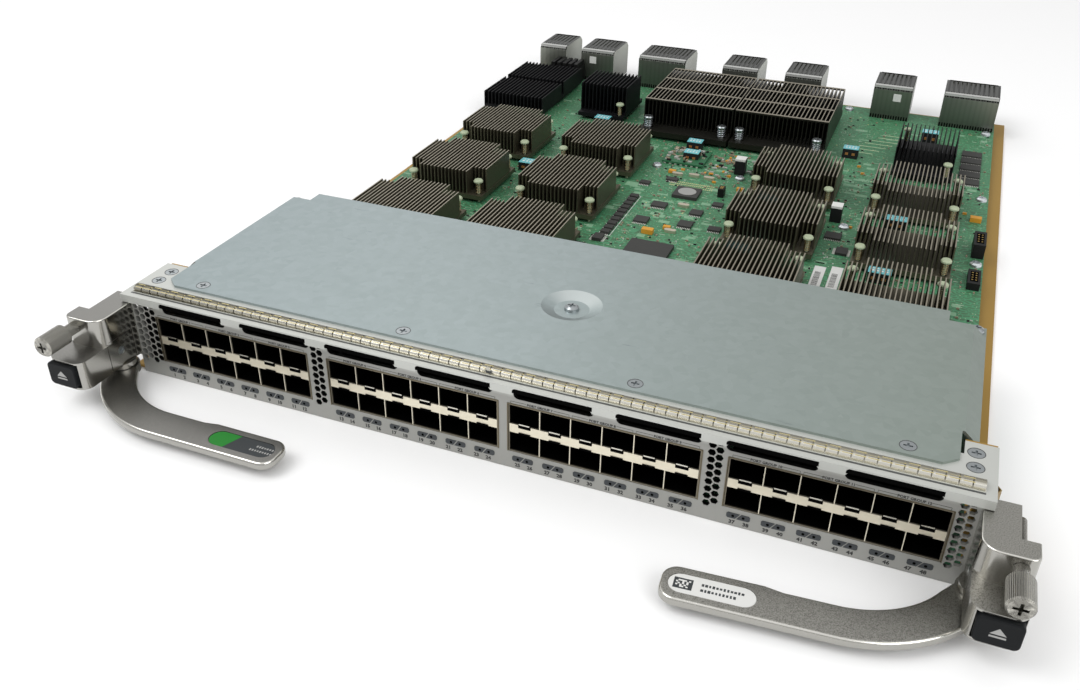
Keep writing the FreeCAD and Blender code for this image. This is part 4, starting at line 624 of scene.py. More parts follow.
class Workshop:
    """Makes new pieces with mesh primitives, edit-mode steps and applied modifiers.

    Attributes:
        CAPITAL: Height of a capital, as a share of the size of its font.
        BOLDNESS: How far letters are thickened, as a share of the height of a capital.
    """

    CAPITAL = 0.69
    BOLDNESS = 0.06

    @staticmethod
    def _clear_selection() -> None:
        """Leave nothing selected."""
        bpy.ops.object.select_all(action="DESELECT")

    @classmethod
    def _settle(cls, piece: bpy.types.Object) -> bpy.types.Object:
        """Bake a piece's place, turn and scale into its mesh.

        Args:
            piece: Piece to settle.

        Returns:
            The same piece, at the origin.
        """
        cls._clear_selection()
        piece.select_set(True)
        bpy.context.view_layer.objects.active = piece
        bpy.ops.object.transform_apply(location=True, rotation=True, scale=True)
        return piece

    @classmethod
    def _apply(cls, piece: bpy.types.Object) -> None:
        """Apply all modifiers of a piece.

        Args:
            piece: Piece to finish.
        """
        cls._clear_selection()
        piece.select_set(True)
        bpy.context.view_layer.objects.active = piece
        for name in [item.name for item in piece.modifiers]:
            bpy.ops.object.modifier_apply(modifier=name)

    @classmethod
    def box(cls, name: str, middle: Spot, size: Spot, bevel: float = 0.0) -> bpy.types.Object:
        """Make an upright box.

        Args:
            name: Piece's name.
            middle: Its centre.
            size: Its extent along X, Y and Z.
            bevel: Width of its rounded edges.

        Returns:
            The box.
        """
        cls._clear_selection()
        bpy.ops.mesh.primitive_cube_add(size=1.0, location=middle)
        piece = bpy.context.object
        piece.name = name
        piece.scale = size
        cls._settle(piece)
        if bevel > 0:
            soft = piece.modifiers.new("Soft", "BEVEL")
            soft.width = bevel
            soft.segments = 2
            cls._apply(piece)
        return piece

    @classmethod
    def disc(cls, name: str, middle: Spot, radius: float, thick: float, axis: str = "Z", sides: int = 20
             ) -> bpy.types.Object:
        """Make a flat cylinder.

        Args:
            name: Piece's name.
            middle: Its centre.
            radius: Its radius.
            thick: Its thickness along its axis.
            axis: X, Y or Z.
            sides: Number of its sides.

        Returns:
            The disc.
        """
        turn = {"X": (0.0, math.pi / 2, 0.0), "Y": (math.pi / 2, 0.0, 0.0), "Z": (0.0, 0.0, 0.0)}[axis]
        cls._clear_selection()
        bpy.ops.mesh.primitive_cylinder_add(vertices=sides, radius=radius, depth=thick, location=middle,
                                            rotation=turn)
        piece = bpy.context.object
        piece.name = name
        return cls._settle(piece)

    @classmethod
    def ring(cls, middle: Spot, radius: float, wire: float) -> bpy.types.Object:
        """Make a thin level ring, which is settled when it is joined to others.

        Args:
            middle: Its centre.
            radius: Radius of its circle.
            wire: Radius of its wire.

        Returns:
            The ring.
        """
        cls._clear_selection()
        bpy.ops.mesh.primitive_torus_add(location=middle, major_radius=radius, minor_radius=wire,
                                         major_segments=24, minor_segments=6)
        return bpy.context.object

    @classmethod
    def coil(cls, name: str, foot: Spot, radius: float, wire: float, height: float, turns: int
             ) -> bpy.types.Object:
        """Wind a coil spring round an upright axis.

        Args:
            name: Piece's name.
            foot: Bottom of its axis.
            radius: Radius of its winding.
            wire: Radius of its wire.
            height: Its height.
            turns: Number of its turns.

        Returns:
            The spring.
        """
        cls._clear_selection()
        bpy.ops.mesh.primitive_circle_add(vertices=6, radius=wire, location=(radius, 0.0, 0.0),
                                          rotation=(math.pi / 2, 0.0, 0.0))
        piece = bpy.context.object
        piece.name = name
        cls._settle(piece)
        wind = piece.modifiers.new("Wind", "SCREW")
        wind.angle = 2 * math.pi * turns
        wind.screw_offset = height - 2 * wire
        wind.steps = 12 * turns
        wind.render_steps = 12 * turns
        cls._apply(piece)
        piece.location = (foot[0], foot[1], foot[2] + wire)
        return cls._settle(piece)

    @classmethod
    def prism(cls, name: str, corners: Sequence[tuple[float, float]], low: float, thick: float,
              plane: str = "XY"
              ) -> bpy.types.Object:
        """Make a flat plate of any outline.

        Args:
            name: Piece's name.
            corners: Outline, in the plane's own two directions.
            low: Where the plate starts along the plane's normal.
            thick: Its thickness along the normal.
            plane: XY for a level plate, XZ for an upright one that faces -Y.

        Returns:
            The plate.
        """
        cls._clear_selection()
        bpy.ops.mesh.primitive_circle_add(vertices=len(corners), radius=1.0, fill_type="NGON")
        piece = bpy.context.object
        piece.name = name
        for vertex, (first, second) in zip(piece.data.vertices, corners):
            vertex.co = (first, second, low) if plane == "XY" else (first, low, second)
        bpy.ops.object.mode_set(mode="EDIT")
        bpy.ops.mesh.select_all(action="SELECT")
        reach = (0.0, 0.0, thick) if plane == "XY" else (0.0, thick, 0.0)
        bpy.ops.mesh.extrude_region_move(TRANSFORM_OT_translate={"value": reach})
        bpy.ops.mesh.select_all(action="SELECT")
        bpy.ops.mesh.normals_make_consistent(inside=False)
        bpy.ops.object.mode_set(mode="OBJECT")
        return piece

    @classmethod
    def words(cls, name: str, text: str, spot: Spot, height: float) -> bpy.types.Object:
        """Print upright words that face -Y.

        Args:
            name: Piece's name.
            text: What they say.
            spot: Middle of their foot.
            height: Height of a capital.

        Returns:
            The words, as a thin mesh.
        """
        cls._clear_selection()
        bpy.ops.object.text_add(location=spot, rotation=(math.pi / 2, 0.0, 0.0))
        piece = bpy.context.object
        piece.name = name
        piece.data.body = text
        piece.data.align_x = "CENTER"
        piece.data.size = height / cls.CAPITAL
        piece.data.extrude = 0.02 * MM
        piece.data.resolution_u = 2
        piece.data.offset = height * cls.BOLDNESS
        bpy.ops.object.convert(target="MESH")
        return cls._settle(bpy.context.object)

    @classmethod
    def copies(cls, base: bpy.types.Object, moves: Iterable[Matrix]) -> list[bpy.types.Object]:
        """Repeat a piece, and drop the first.

        Args:
            base: Piece to repeat.
            moves: How each copy is moved from the first.

        Returns:
            The copies.
        """
        made = []
        for move in moves:
            twin = base.copy()
            twin.data = base.data.copy()
            bpy.context.collection.objects.link(twin)
            twin.matrix_world = move
            made.append(twin)
        bpy.data.objects.remove(base)
        return made

    @classmethod
    def joined(cls, name: str, parts: Sequence[bpy.types.Object]) -> bpy.types.Object:
        """Join pieces into one.

        Args:
            name: Name of the whole.
            parts: Pieces to join.

        Returns:
            The whole, at the origin.
        """
        cls._clear_selection()
        for part in parts:
            part.select_set(True)
        bpy.context.view_layer.objects.active = parts[0]
        if len(parts) > 1:
            bpy.ops.object.join()
        piece = bpy.context.view_layer.objects.active
        piece.name = name
        return cls._settle(piece)

    @classmethod
    def repeated(cls, name: str, base: bpy.types.Object, spots: Iterable[Spot]) -> bpy.types.Object:
        """Stand a copy of a piece on every spot, and join the copies.

        Args:
            name: Name of the whole.
            base: Piece to repeat, made round the origin.
            spots: Where the copies stand.

        Returns:
            The whole, at the origin.
        """
        return cls.joined(name, cls.copies(base, [Matrix.Translation(spot) for spot in spots]))

    @classmethod
    def boxes(cls, name: str, rows: Rows) -> bpy.types.Object:
        """Make many upright boxes as one piece.

        Args:
            name: Piece's name.
            rows: Centre and size of each box.

        Returns:
            The piece.
        """
        base = cls.box(f"{name}_seed", (0.0, 0.0, 0.0), (1.0, 1.0, 1.0))
        moves = [Matrix.Translation(middle) @ Matrix.Diagonal((*size, 1.0)) for middle, size in rows]
        return cls.joined(name, cls.copies(base, moves))


@dataclass
class Solid:
    """One separate solid of a CAD node, as the box round it.

    Attributes:
        low: Its lowest corner.
        high: Its highest corner.
    """

    low: Vector
    high: Vector

    @property
    def middle(self) -> Vector:
        """Centre of the box."""
        return (self.low + self.high) / 2

    @property
    def size(self) -> Vector:
        """Extent of the box."""
        return self.high - self.low

    def covers(self, x: float, y: float, reach: float) -> bool:
        """Tell whether a spot lies over the box or nearer to it than the reach.

        Args:
            x: X of the spot.
            y: Y of the spot.
            reach: How far off the box still counts.

        Returns:
            True if it does.
        """
        return self.low.x - reach < x < self.high.x + reach and self.low.y - reach < y < self.high.y + reach


def solids_of(node: bpy.types.Object) -> list[Solid]:
    """Find the separate solids of a CAD node.

    Args:
        node: CAD node of the frame.

    Returns:
        Its solids, from the front to the rear.
    """
    keys = [tuple(round(value, 6) for value in vertex.co) for vertex in node.data.vertices]
    parent: dict[tuple[float, ...], tuple[float, ...]] = {key: key for key in keys}

    def root(key: tuple[float, ...]) -> tuple[float, ...]:
        """Find the corner that stands for a corner's solid.

        Args:
            key: Corner to look up.

        Returns:
            The corner that stands for its solid.
        """
        while parent[key] != key:
            parent[key] = parent[parent[key]]
            key = parent[key]
        return key

    for face in node.data.polygons:
        first = root(keys[face.vertices[0]])
        for index in face.vertices[1:]:
            parent[root(keys[index])] = first
    groups: dict[tuple[float, ...], list[tuple[float, ...]]] = {}
    for key in parent:
        groups.setdefault(root(key), []).append(key)
    found = []
    for members in groups.values():
        low = Vector(tuple(min(member[axis] for member in members) for axis in range(3)))
        high = Vector(tuple(max(member[axis] for member in members) for axis in range(3)))
        found.append(Solid(low, high))
    return sorted(found, key=lambda item: (round(item.low.y, 4), round(item.low.x, 4)))


@dataclass
class Card:
    """The frame, its finishes and the pieces that are added to it."""

    frame: dict
    shaders: ShaderKit
    added: list[bpy.types.Object] = field(default_factory=list)

    def node(self, name: str) -> bpy.types.Object:
        """Return one CAD node.

        Args:
            name: Node's name.

        Returns:
            Its object.
        """
        return self.frame["nodes"][name]

    def solids(self, name: str) -> list[Solid]:
        """Return the separate solids of one CAD node.

        Args:
            name: Node's name.

        Returns:
            Its solids.
        """
        return solids_of(self.node(name))

    def dress(self) -> None:
        """Give every CAD node the material of its slot."""
        for part in self.frame["record"]["subparts"]:
            name, slot = part["node"], part["material_slot"]
            finish, label = SLOT_FINISHES[slot], slot
            if name.endswith("_thumbscrew"):
                low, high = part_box(name)
                middle = (low + high) / 2
                finish = replace(THUMBSCREW, centre=(middle.x, middle.z))
                label = f"{slot}_{name}"
            for prefix, (special, look) in NODE_FINISHES.items():
                if name.startswith(prefix):
                    finish, label = look, special
            target = self.node(name)
            target.data.materials.clear()
            target.data.materials.append(self.shaders.material(label, finish))

    def add(self, piece: bpy.types.Object, finish: str, body: str = "card") -> bpy.types.Object:
        """Finish a new piece and let it ride on a body.

        Args:
            piece: New piece.
            finish: Name of its finish.
            body: Body that carries it.

        Returns:
            The piece.
        """
        slot, look = DETAIL_FINISHES[finish]
        piece.data.materials.clear()
        piece.data.materials.append(self.shaders.material(finish, look))
        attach(piece, body)
        self.added.append(piece)
        LOG.info("%s: %s on %s, %d faces", piece.name, finish, body, len(piece.data.polygons))
        return piece


@dataclass
class FrontDetails:
    """Print, latches, gasket lines and rims on the faceplate.

    Attributes:
        card: Card to work on.
        finger_pitch: Pitch of the gasket's fingers.
        print_lift: How far the print's middle stands off the faceplate.
        print_thick: Thickness of the printed lines.
        number_height: Height of the port numbers.
        group_height: Height of the port groups' words.
        group_gap: Half of the gap that a group's words leave in its bracket.
        rim_wide: Width of the cage rims.
        vent_count: Number of vent slots.
        vent_reach: Half of the length of a painted shade plate in a vent slot.
    """

    card: Card
    finger_pitch: float = 4.85 * MM
    print_lift: float = 0.03 * MM
    print_thick: float = 0.04 * MM
    number_height: float = 1.75 * MM
    group_height: float = 1.15 * MM
    group_gap: float = 6.2 * MM
    rim_wide: float = 0.4 * MM
    vent_count: int = 8
    vent_reach: float = 17.8 * MM

    def __post_init__(self) -> None:
        """Find the four port blocks, their middle bars and the gasket."""
        self.cages = [Solid(*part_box(f"port_cage_{index}")) for index in range(1, 5)]
        self.bars = sorted(self.card.solids("cage_middle_bars"), key=lambda item: item.low.x)
        self.gasket = Solid(*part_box("emi_gasket"))

    def build(self) -> None:
        """Add all details of the front."""
        self.add_latches()
        self.add_rims()
        self.add_numbers()
        self.add_light_dots()
        self.add_gasket_lines()
        self.add_bent_finger()
        self.add_vent_shades()
        self.add_liner()
        self.add_screw_rings()

    def columns(self) -> list[tuple[Solid, float]]:
        """Return each port column's middle bar and middle.

        Returns:
            Pairs of bar and X.
        """
        found = []
        for bar in self.bars:
            width = bar.size.x / COLUMNS
            found += [(bar, bar.low.x + (column + 0.5) * width) for column in range(COLUMNS)]
        return found

    def add_latches(self) -> None:
        """Put a latch lip between two notches on the middle bar at every port."""
        upper, lower, lip = mm(5.6, 0.4, 1.8), mm(5.4, 0.3, 0.8), mm(4.9, 0.6, 0.6)
        dark, lips = [], []
        for bar, x in self.columns():
            face = bar.low.y - 0.12 * MM
            dark.append(((x, face, bar.high.z - 0.4 * MM), upper))
            lips.append(((x, face - 0.1 * MM, bar.high.z + 0.8 * MM), lip))
            dark.append(((x, face, bar.low.z + 0.2 * MM), lower))
        self.card.add(Workshop.boxes("latch_notches", dark), "dark_gap")
        self.card.add(Workshop.boxes("latch_lips", lips), "bright_edge")

    def add_rims(self) -> None:
        """Frame every block with the thin bronze edge of its cage gasket."""
        y, deep, grow = FRONT - 0.1 * MM, 0.3 * MM, 0.3 * MM
        rows = []
        for cage in self.cages:
            left, right = cage.low.x - grow, cage.high.x + grow
            low, high = 9.0 * MM, cage.high.z + grow
            rows.append((((left + right) / 2, y, high), (right - left, deep, self.rim_wide)))
            rows += [((x, y, (low + high) / 2), (self.rim_wide, deep, high - low)) for x in (left, right)]
        self.card.add(Workshop.boxes("cage_rims", rows), "bronze_edge")

    def add_numbers(self) -> None:
        """Print the port numbers and the port groups' brackets."""
        face, columns = FRONT - self.print_lift, self.columns()
        foot, words_foot, bracket_top, bracket_middle = mm(1.25, 34.95, 35.75, 35.2)
        parts, lines = [], []
        for order, (_, x) in enumerate(columns):
            for side, number in ((-1, 2 * order + 1), (1, 2 * order + 2)):
                spot = (x + (side * 2.9 - 0.3) * MM, face, foot)
                parts.append(Workshop.words("port_number", str(number), spot, self.number_height))
        for order in range(0, len(columns), 2):
            left, right = columns[order][1] - PORT_PITCH * 0.44, columns[order + 1][1] + PORT_PITCH * 0.44
            middle = (left + right) / 2
            parts.append(Workshop.words("group_words", f"PORT GROUP {order // 2 + 1}",
                                        (middle, face, words_foot), self.group_height))
            for start, end in ((left, middle - self.group_gap), (middle + self.group_gap, right)):
                lines.append((((start + end) / 2, face, bracket_top),
                              (end - start, self.print_thick, 0.18 * MM)))
            lines += [((x, face, bracket_middle), (0.16 * MM, self.print_thick, 1.1 * MM)) for x in (left,
                                                                                                     right)]
        parts.append(Workshop.boxes("group_lines", lines))
        self.card.add(Workshop.joined("faceplate_print", parts), "ink")

    def add_light_dots(self) -> None:
        """Put the dark lens in every port light's window."""
        base = Workshop.disc("lens", (0.0, 0.0, 0.0), 0.62 * MM, 0.1 * MM, "Y", 12)
        spots = [(item.middle.x, item.low.y - 0.02 * MM, item.middle.z)
                 for item in self.card.solids("port_light_windows")]
        self.card.add(Workshop.repeated("light_lenses", base, spots), "dark_gap")

    def add_vent_shades(self) -> None:
        """Paint shade above every vent slot with a thin dark plate in the lip, so that the slot looks taller.
        """
        low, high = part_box("faceplate")
        pitch = (high.x - low.x - 30.0 * MM) / self.vent_count
        foot, shoulder, knee, top = mm(41.4, 42.4, 43.1, 43.6)
        plates = []
        for step in range(self.vent_count):
            middle = 2.6 * MM + (step - (self.vent_count - 1) / 2) * pitch
            left, right = middle - self.vent_reach, middle + self.vent_reach
            corners = [(right, foot), (right, top), (left + 1.1 * MM, top), (left + 0.3 * MM, knee),
                       (left, shoulder), (left, foot)]
            # Painted shade: dark plates on the lip's front, above the real openings.
            plates.append(Workshop.prism("vent_shade", corners, low.y - 0.04 * MM, 0.05 * MM, "XZ"))
        self.card.add(Workshop.joined("vent_shades", plates), "dark_gap")

    def add_liner(self) -> None:
        """Hang a dark sheet of painted shade behind the honeycomb at the left end."""
        left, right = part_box("faceplate")[0].x + 1.2 * MM, self.cages[0].low.x - 0.7 * MM
        middle = ((left + right) / 2, FRONT + 2.25 * MM, 22.0 * MM)
        # Painted shade: a dark sheet that darkens the honeycomb's cells.
        self.card.add(Workshop.box("honeycomb_shade_sheet", middle, (right - left, 0.3 * MM, 28.0 * MM)),
                      "dark_gap")

    def add_gasket_lines(self) -> None:
        """Paint the gold reflection and the dark shade lines on the gasket's fingers, and a shade line on the
        lip before them.
        """
        low, high, pitch = self.gasket.low, self.gasket.high, self.finger_pitch
        middle, wide = (low.y + high.y) / 2, pitch - 0.7 * MM
        upper, lower, groove = ((-0.5, 0.07), (-1.1, 0.13)), (-2.4, 0.42), (-1.7, 0.17)
        # Painted reflection: the gold lines; painted shade: the dark lines on the fingers and on the lip
        # before them.
        rows: Rows = []
        dark: Rows = [((0.0, low.y - 1.1 * MM, 44.42 * MM), (high.x - low.x, 1.0 * MM, 0.1 * MM))]
        for step in range(int((high.x - low.x - 2.0 * MM) / pitch)):
            x = low.x + 1.0 * MM + (step + 0.5) * pitch
            for shift, drop in (upper[step % 2], lower):
                rows.append(((x, middle + shift * MM, high.z - drop * MM), (wide, 0.5 * MM, 0.12 * MM)))
            shift, drop = groove
            dark.append(((x, middle + shift * MM, high.z - drop * MM), (wide, 0.35 * MM, 0.1 * MM)))
        self.card.add(Workshop.boxes("gasket_reflection_lines", rows), "painted_gold_reflection")
        self.card.add(Workshop.boxes("gasket_shade_lines", dark), "ring_dark")

    def add_bent_finger(self) -> None:
        """Turn up the torn corner of one gasket finger near the middle, with a painted shadow under it."""
        low, high = self.gasket.low, self.gasket.high
        x, top = -6.0 * MM, high.z - 0.03 * MM
        outline = ((-2.4, -1.3), (-0.6, 0.0), (1.6, -0.5), (1.5, -0.8), (-0.5, -0.35), (-2.1, -1.5))
        flap = [(x + across * MM, top + up * MM) for across, up in outline]
        self.card.add(Workshop.prism("bent_finger", flap, low.y + 0.1 * MM, 2.4 * MM, "XZ"), "bright_edge")
        # Painted shadow: a dark block under the turned-up flap.
        under = Workshop.box("bent_finger_shadow", (x + 0.8 * MM, low.y + 0.9 * MM, high.z - 1.2 * MM),
                             mm(2.8, 1.6, 1.2))
        self.card.add(under, "ring_dark")

    def add_screw_rings(self) -> None:
        """Draw the thin gap round every countersunk screw that lies level."""
        level = [item for name in ("cover_flush_screws",
                                   "tab_flush_screws") for item in self.card.solids(name)
                 if item.size.z <= item.size.x * 3]
        rings = [Workshop.ring((item.middle.x, item.middle.y, item.high.z - 0.08 * MM), item.size.x / 2,
                               0.22 * MM)
                 for item in level]
        self.card.add(Workshop.joined("screw_rings", rings), "ring_dark")


@dataclass
class EjectorDetails:
    """Icons and labels of the buttons and levers.

    Attributes:
        card: Card to work on.
        pivot: Axis of the right lever.
        opened: How far the right lever stands open at rest.
        recess_middle: Y of the middle of a closed lever's recess.
        near_end: Nearer end's centre in the recess, as a distance from the card's middle.
        far_end: Farther end's centre.
        recess_radius: Radius of the recess's ends.
        green_radius: Radius of the left label's green end.
        mark_thick: Thickness of the printed marks.
    """

    card: Card
    pivot: Vector = field(default_factory=lambda: Vector((199.5 * MM, FRONT - 9.0 * MM, 0.0)))
    opened: float = math.radians(4.0)
    recess_middle: float = FRONT - 41.0 * MM
    near_end: float = 94.0 * MM
    far_end: float = 117.0 * MM
    recess_radius: float = 5.0 * MM
    green_radius: float = 4.9 * MM
    mark_thick: float = 0.04 * MM

    def build(self) -> None:
        """Add all details of the ejectors."""
        self.add_icons()
        self.add_labels()

    def add_icons(self) -> None:
        """Put the eject sign on both buttons."""
        half, foot, tip, thick = mm(2.8, 0.4, 2.5, 0.08)
        for name in ("left", "right"):
            low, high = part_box(f"{name}_eject_button")
            x, z, y = (low.x + high.x) / 2, (low.z + high.z) / 2, low.y - thick / 2
            arrow = Workshop.prism("arrow", [(x - half, z - foot), (x + half, z - foot), (x, z + tip)], y,
                                   thick,
                                   "XZ")
            bar = Workshop.box("bar", (x, y + thick / 2, z - 1.5 * MM), (2 * half, thick, 0.8 * MM))
            self.card.add(Workshop.joined(f"{name}_eject_sign", [arrow, bar]), "icon_grey", f"{name}_button")

    def _stadium(self, side: int) -> list[tuple[float, float]]:
        """Outline the label of a closed lever.

        Args:
            side: -1 for the left lever, 1 for the right.

        Returns:
            Its corners.
        """
        corners = []
        for centre, start in ((self.far_end, -90), (self.near_end, 90)):
            for step in range(9):
                angle = math.radians(start + step * 22.5)
                corners.append((side * (centre + self.recess_radius * math.cos(angle)),
                                self.recess_middle + self.recess_radius * math.sin(angle)))
        return corners

    def _green_end(self) -> list[tuple[float, float]]:
        """Outline the green end of the left lever's label.

        Returns:
            Its corners.
        """
        x, y, radius = -self.far_end, self.recess_middle, self.green_radius
        turns = [math.radians(step * 22.5) for step in range(1, 8)]
        return [(x + 4.5 * MM, y - radius), (x, y - radius),
                *((x - radius * math.sin(turn), y - radius * math.cos(turn)) for turn in turns),
                (x, y + radius), (x + 8.5 * MM, y + radius)]

    def _opened(self, piece: bpy.types.Object, side: int) -> bpy.types.Object:
        """Swing a piece that was made on a closed right lever to where that lever rests.

        Args:
            piece: Piece to swing.
            side: -1 leaves it as it is.

        Returns:
            The piece.
        """
        if side < 0:
            return piece
        turn = (Matrix.Translation(self.pivot) @ Matrix.Rotation(self.opened, 4, "Z")
                @ Matrix.Translation(-self.pivot))
        piece.matrix_world = turn @ piece.matrix_world
        return Workshop.joined(piece.name, [piece])

    def _marks(self, face: float) -> tuple[Rows, Rows]:
        """Lay out the plain marks of both labels: dashes for words, and a chequer for a code.

        Args:
            face: Z of the labels' face.

        Returns:
            Marks of the right label and of the left one.
        """
        y, z, cell = self.recess_middle, face + 0.01 * MM, 0.8 * MM
        lines: Rows = []
        pale: Rows = []
        chance = random.Random(5)
        for row, count in ((0, 12), (1, 10)):
            for step in range(count):
                spot = (102.0 * MM + step * 1.35 * MM, y + 1.4 * MM - row * 2.8 * MM, z)
                lines.append((spot, ((0.7 + 0.4 * chance.random()) * MM, (1.0 + 0.5 * chance.random()) * MM,
                                     self.mark_thick)))
                if step < 9:
                    spot = (-self.near_end - 4.0 * MM + step * 1.3 * MM - row * 2.0 * MM, spot[1], z)
                    pale.append((spot, (0.7 * MM, (0.9 + 0.4 * chance.random()) * MM, self.mark_thick)))
        for column in range(9):
            for row in range(7):
                if column in (0, 8) or row in (0, 6) or chance.random() < 0.5:
                    spot = (self.near_end - 2.5 * MM + column * cell, y - 2.4 * MM + row * cell, z)
                    lines.append((spot, (cell, cell, self.mark_thick)))
        return lines, pale

    def add_labels(self) -> None:
        """Lay a bare label into each lever's recess: dark with a green end, and white with plain marks."""
        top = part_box("left_lever")[1].z
        seat, face = top - 0.5 * MM, top - 0.2 * MM
        for side, name, finish in ((-1, "left", "grey_print"), (1, "right", "white_print")):
            plate = Workshop.prism(f"{name}_lever_label", self._stadium(side), seat, 0.3 * MM)
            self.card.add(self._opened(plate, side), finish, f"{name}_lever")
        green = Workshop.prism("left_label_end", self._green_end(), face - 0.01 * MM, 0.05 * MM)
        self.card.add(green, "green_print", "left_lever")
        lines, pale = self._marks(face)
        marks = Workshop.boxes("right_label_marks", lines)
        self.card.add(self._opened(marks, 1), "grey_print", "right_lever")
        self.card.add(Workshop.boxes("left_label_marks", pale), "icon_grey", "left_lever")


class Zone(NamedTuple):
    """A stretch of open board, in millimetres to the right of its middle and behind the faceplate.

    Attributes:
        left: Left edge.
        right: Right edge.
        near: Nearer edge.
        far: Farther edge.
        count: Number of small parts that are tried there.
    """

    left: float
    right: float
    near: float
    far: float
    count: int

    def spot(self, chance: random.Random, grid: float = 0.0) -> tuple[float, float]:
        """Pick a spot by chance.

        Args:
            chance: Where the draws come from.
            grid: Pitch of the grid that the spot snaps to, in millimetres, or 0.

        Returns:
            Its X and Y in metres.
        """
        x, y = chance.uniform(self.left, self.right), chance.uniform(self.near, self.far)
        if grid:
            x, y = round(x / grid) * grid, round(y / grid) * grid
        return x * MM, FRONT + y * MM


class SmallPart(NamedTuple):
    """A kind of small board part, with its sizes in millimetres.

    Attributes:
        name: Kind.
        length: Length.
        width: Width.
        height: Height.
        share: Share of all small parts.
    """

    name: str
    length: float
    width: float
    height: float
    share: float


@dataclass(frozen=True)
class Spring:
    """A kind of coil spring that is wound round the fasteners of one CAD node.

    Attributes:
        node: The fasteners' node.
        name: Name of the springs' piece.
        finish: Its finish.
        seat: Z of a spring's foot.
        radius: Radius of its winding.
        wire: Radius of its wire.
        head: How far it ends below its fastener's top.
        turns: Number of its turns.
    """

    node: str
    name: str
    finish: str
    seat: float
    radius: float
    wire: float
    head: float
    turns: int


SPRINGS = (Spring("push_pins", "push_pin_springs", "brass_wire", *mm(12.15, 1.7, 0.26, 2.7), 6),
           Spring("sink_spring_screws", "sink_screw_springs", "steel_wire", *mm(13.2, 3.1, 0.34, 2.3), 4))
OPEN_ZONES = (Zone(-36, 36, 163, 405, 330), Zone(-118, -98, 163, 400, 90), Zone(98, 118, 163, 400, 90),
              Zone(176, 190, 163, 520, 70), Zone(-176, -40, 218, 239, 60), Zone(-176, -40, 297, 318, 60),
              Zone(40, 176, 218, 239, 60), Zone(40, 176, 297, 318, 60), Zone(-190, 190, 378, 404, 110),
              Zone(82, 188, 405, 522, 110), Zone(-145, -66, 404, 522, 80), Zone(-192, -177, 163, 410, 30))
CROWDED_ZONES = (Zone(3, 22, 347, 400, 46), Zone(31, 38, 347, 396, 14), Zone(-62, -48, 330, 398, 18))
MODULE = Zone(-30.0, 0.0, 360.0, 390.5, 64)
SMALL_PARTS = (SmallPart("ceramic", 1.6, 0.9, 0.8, 0.34), SmallPart("chip_part", 1.8, 1.0, 0.5, 0.22),
               SmallPart("silkscreen", 2.4, 0.35, 0.05, 0.2), SmallPart("gold_pad", 1.0, 1.0, 0.06, 0.1),
               SmallPart("solder", 1.3, 0.8, 0.25, 0.14))


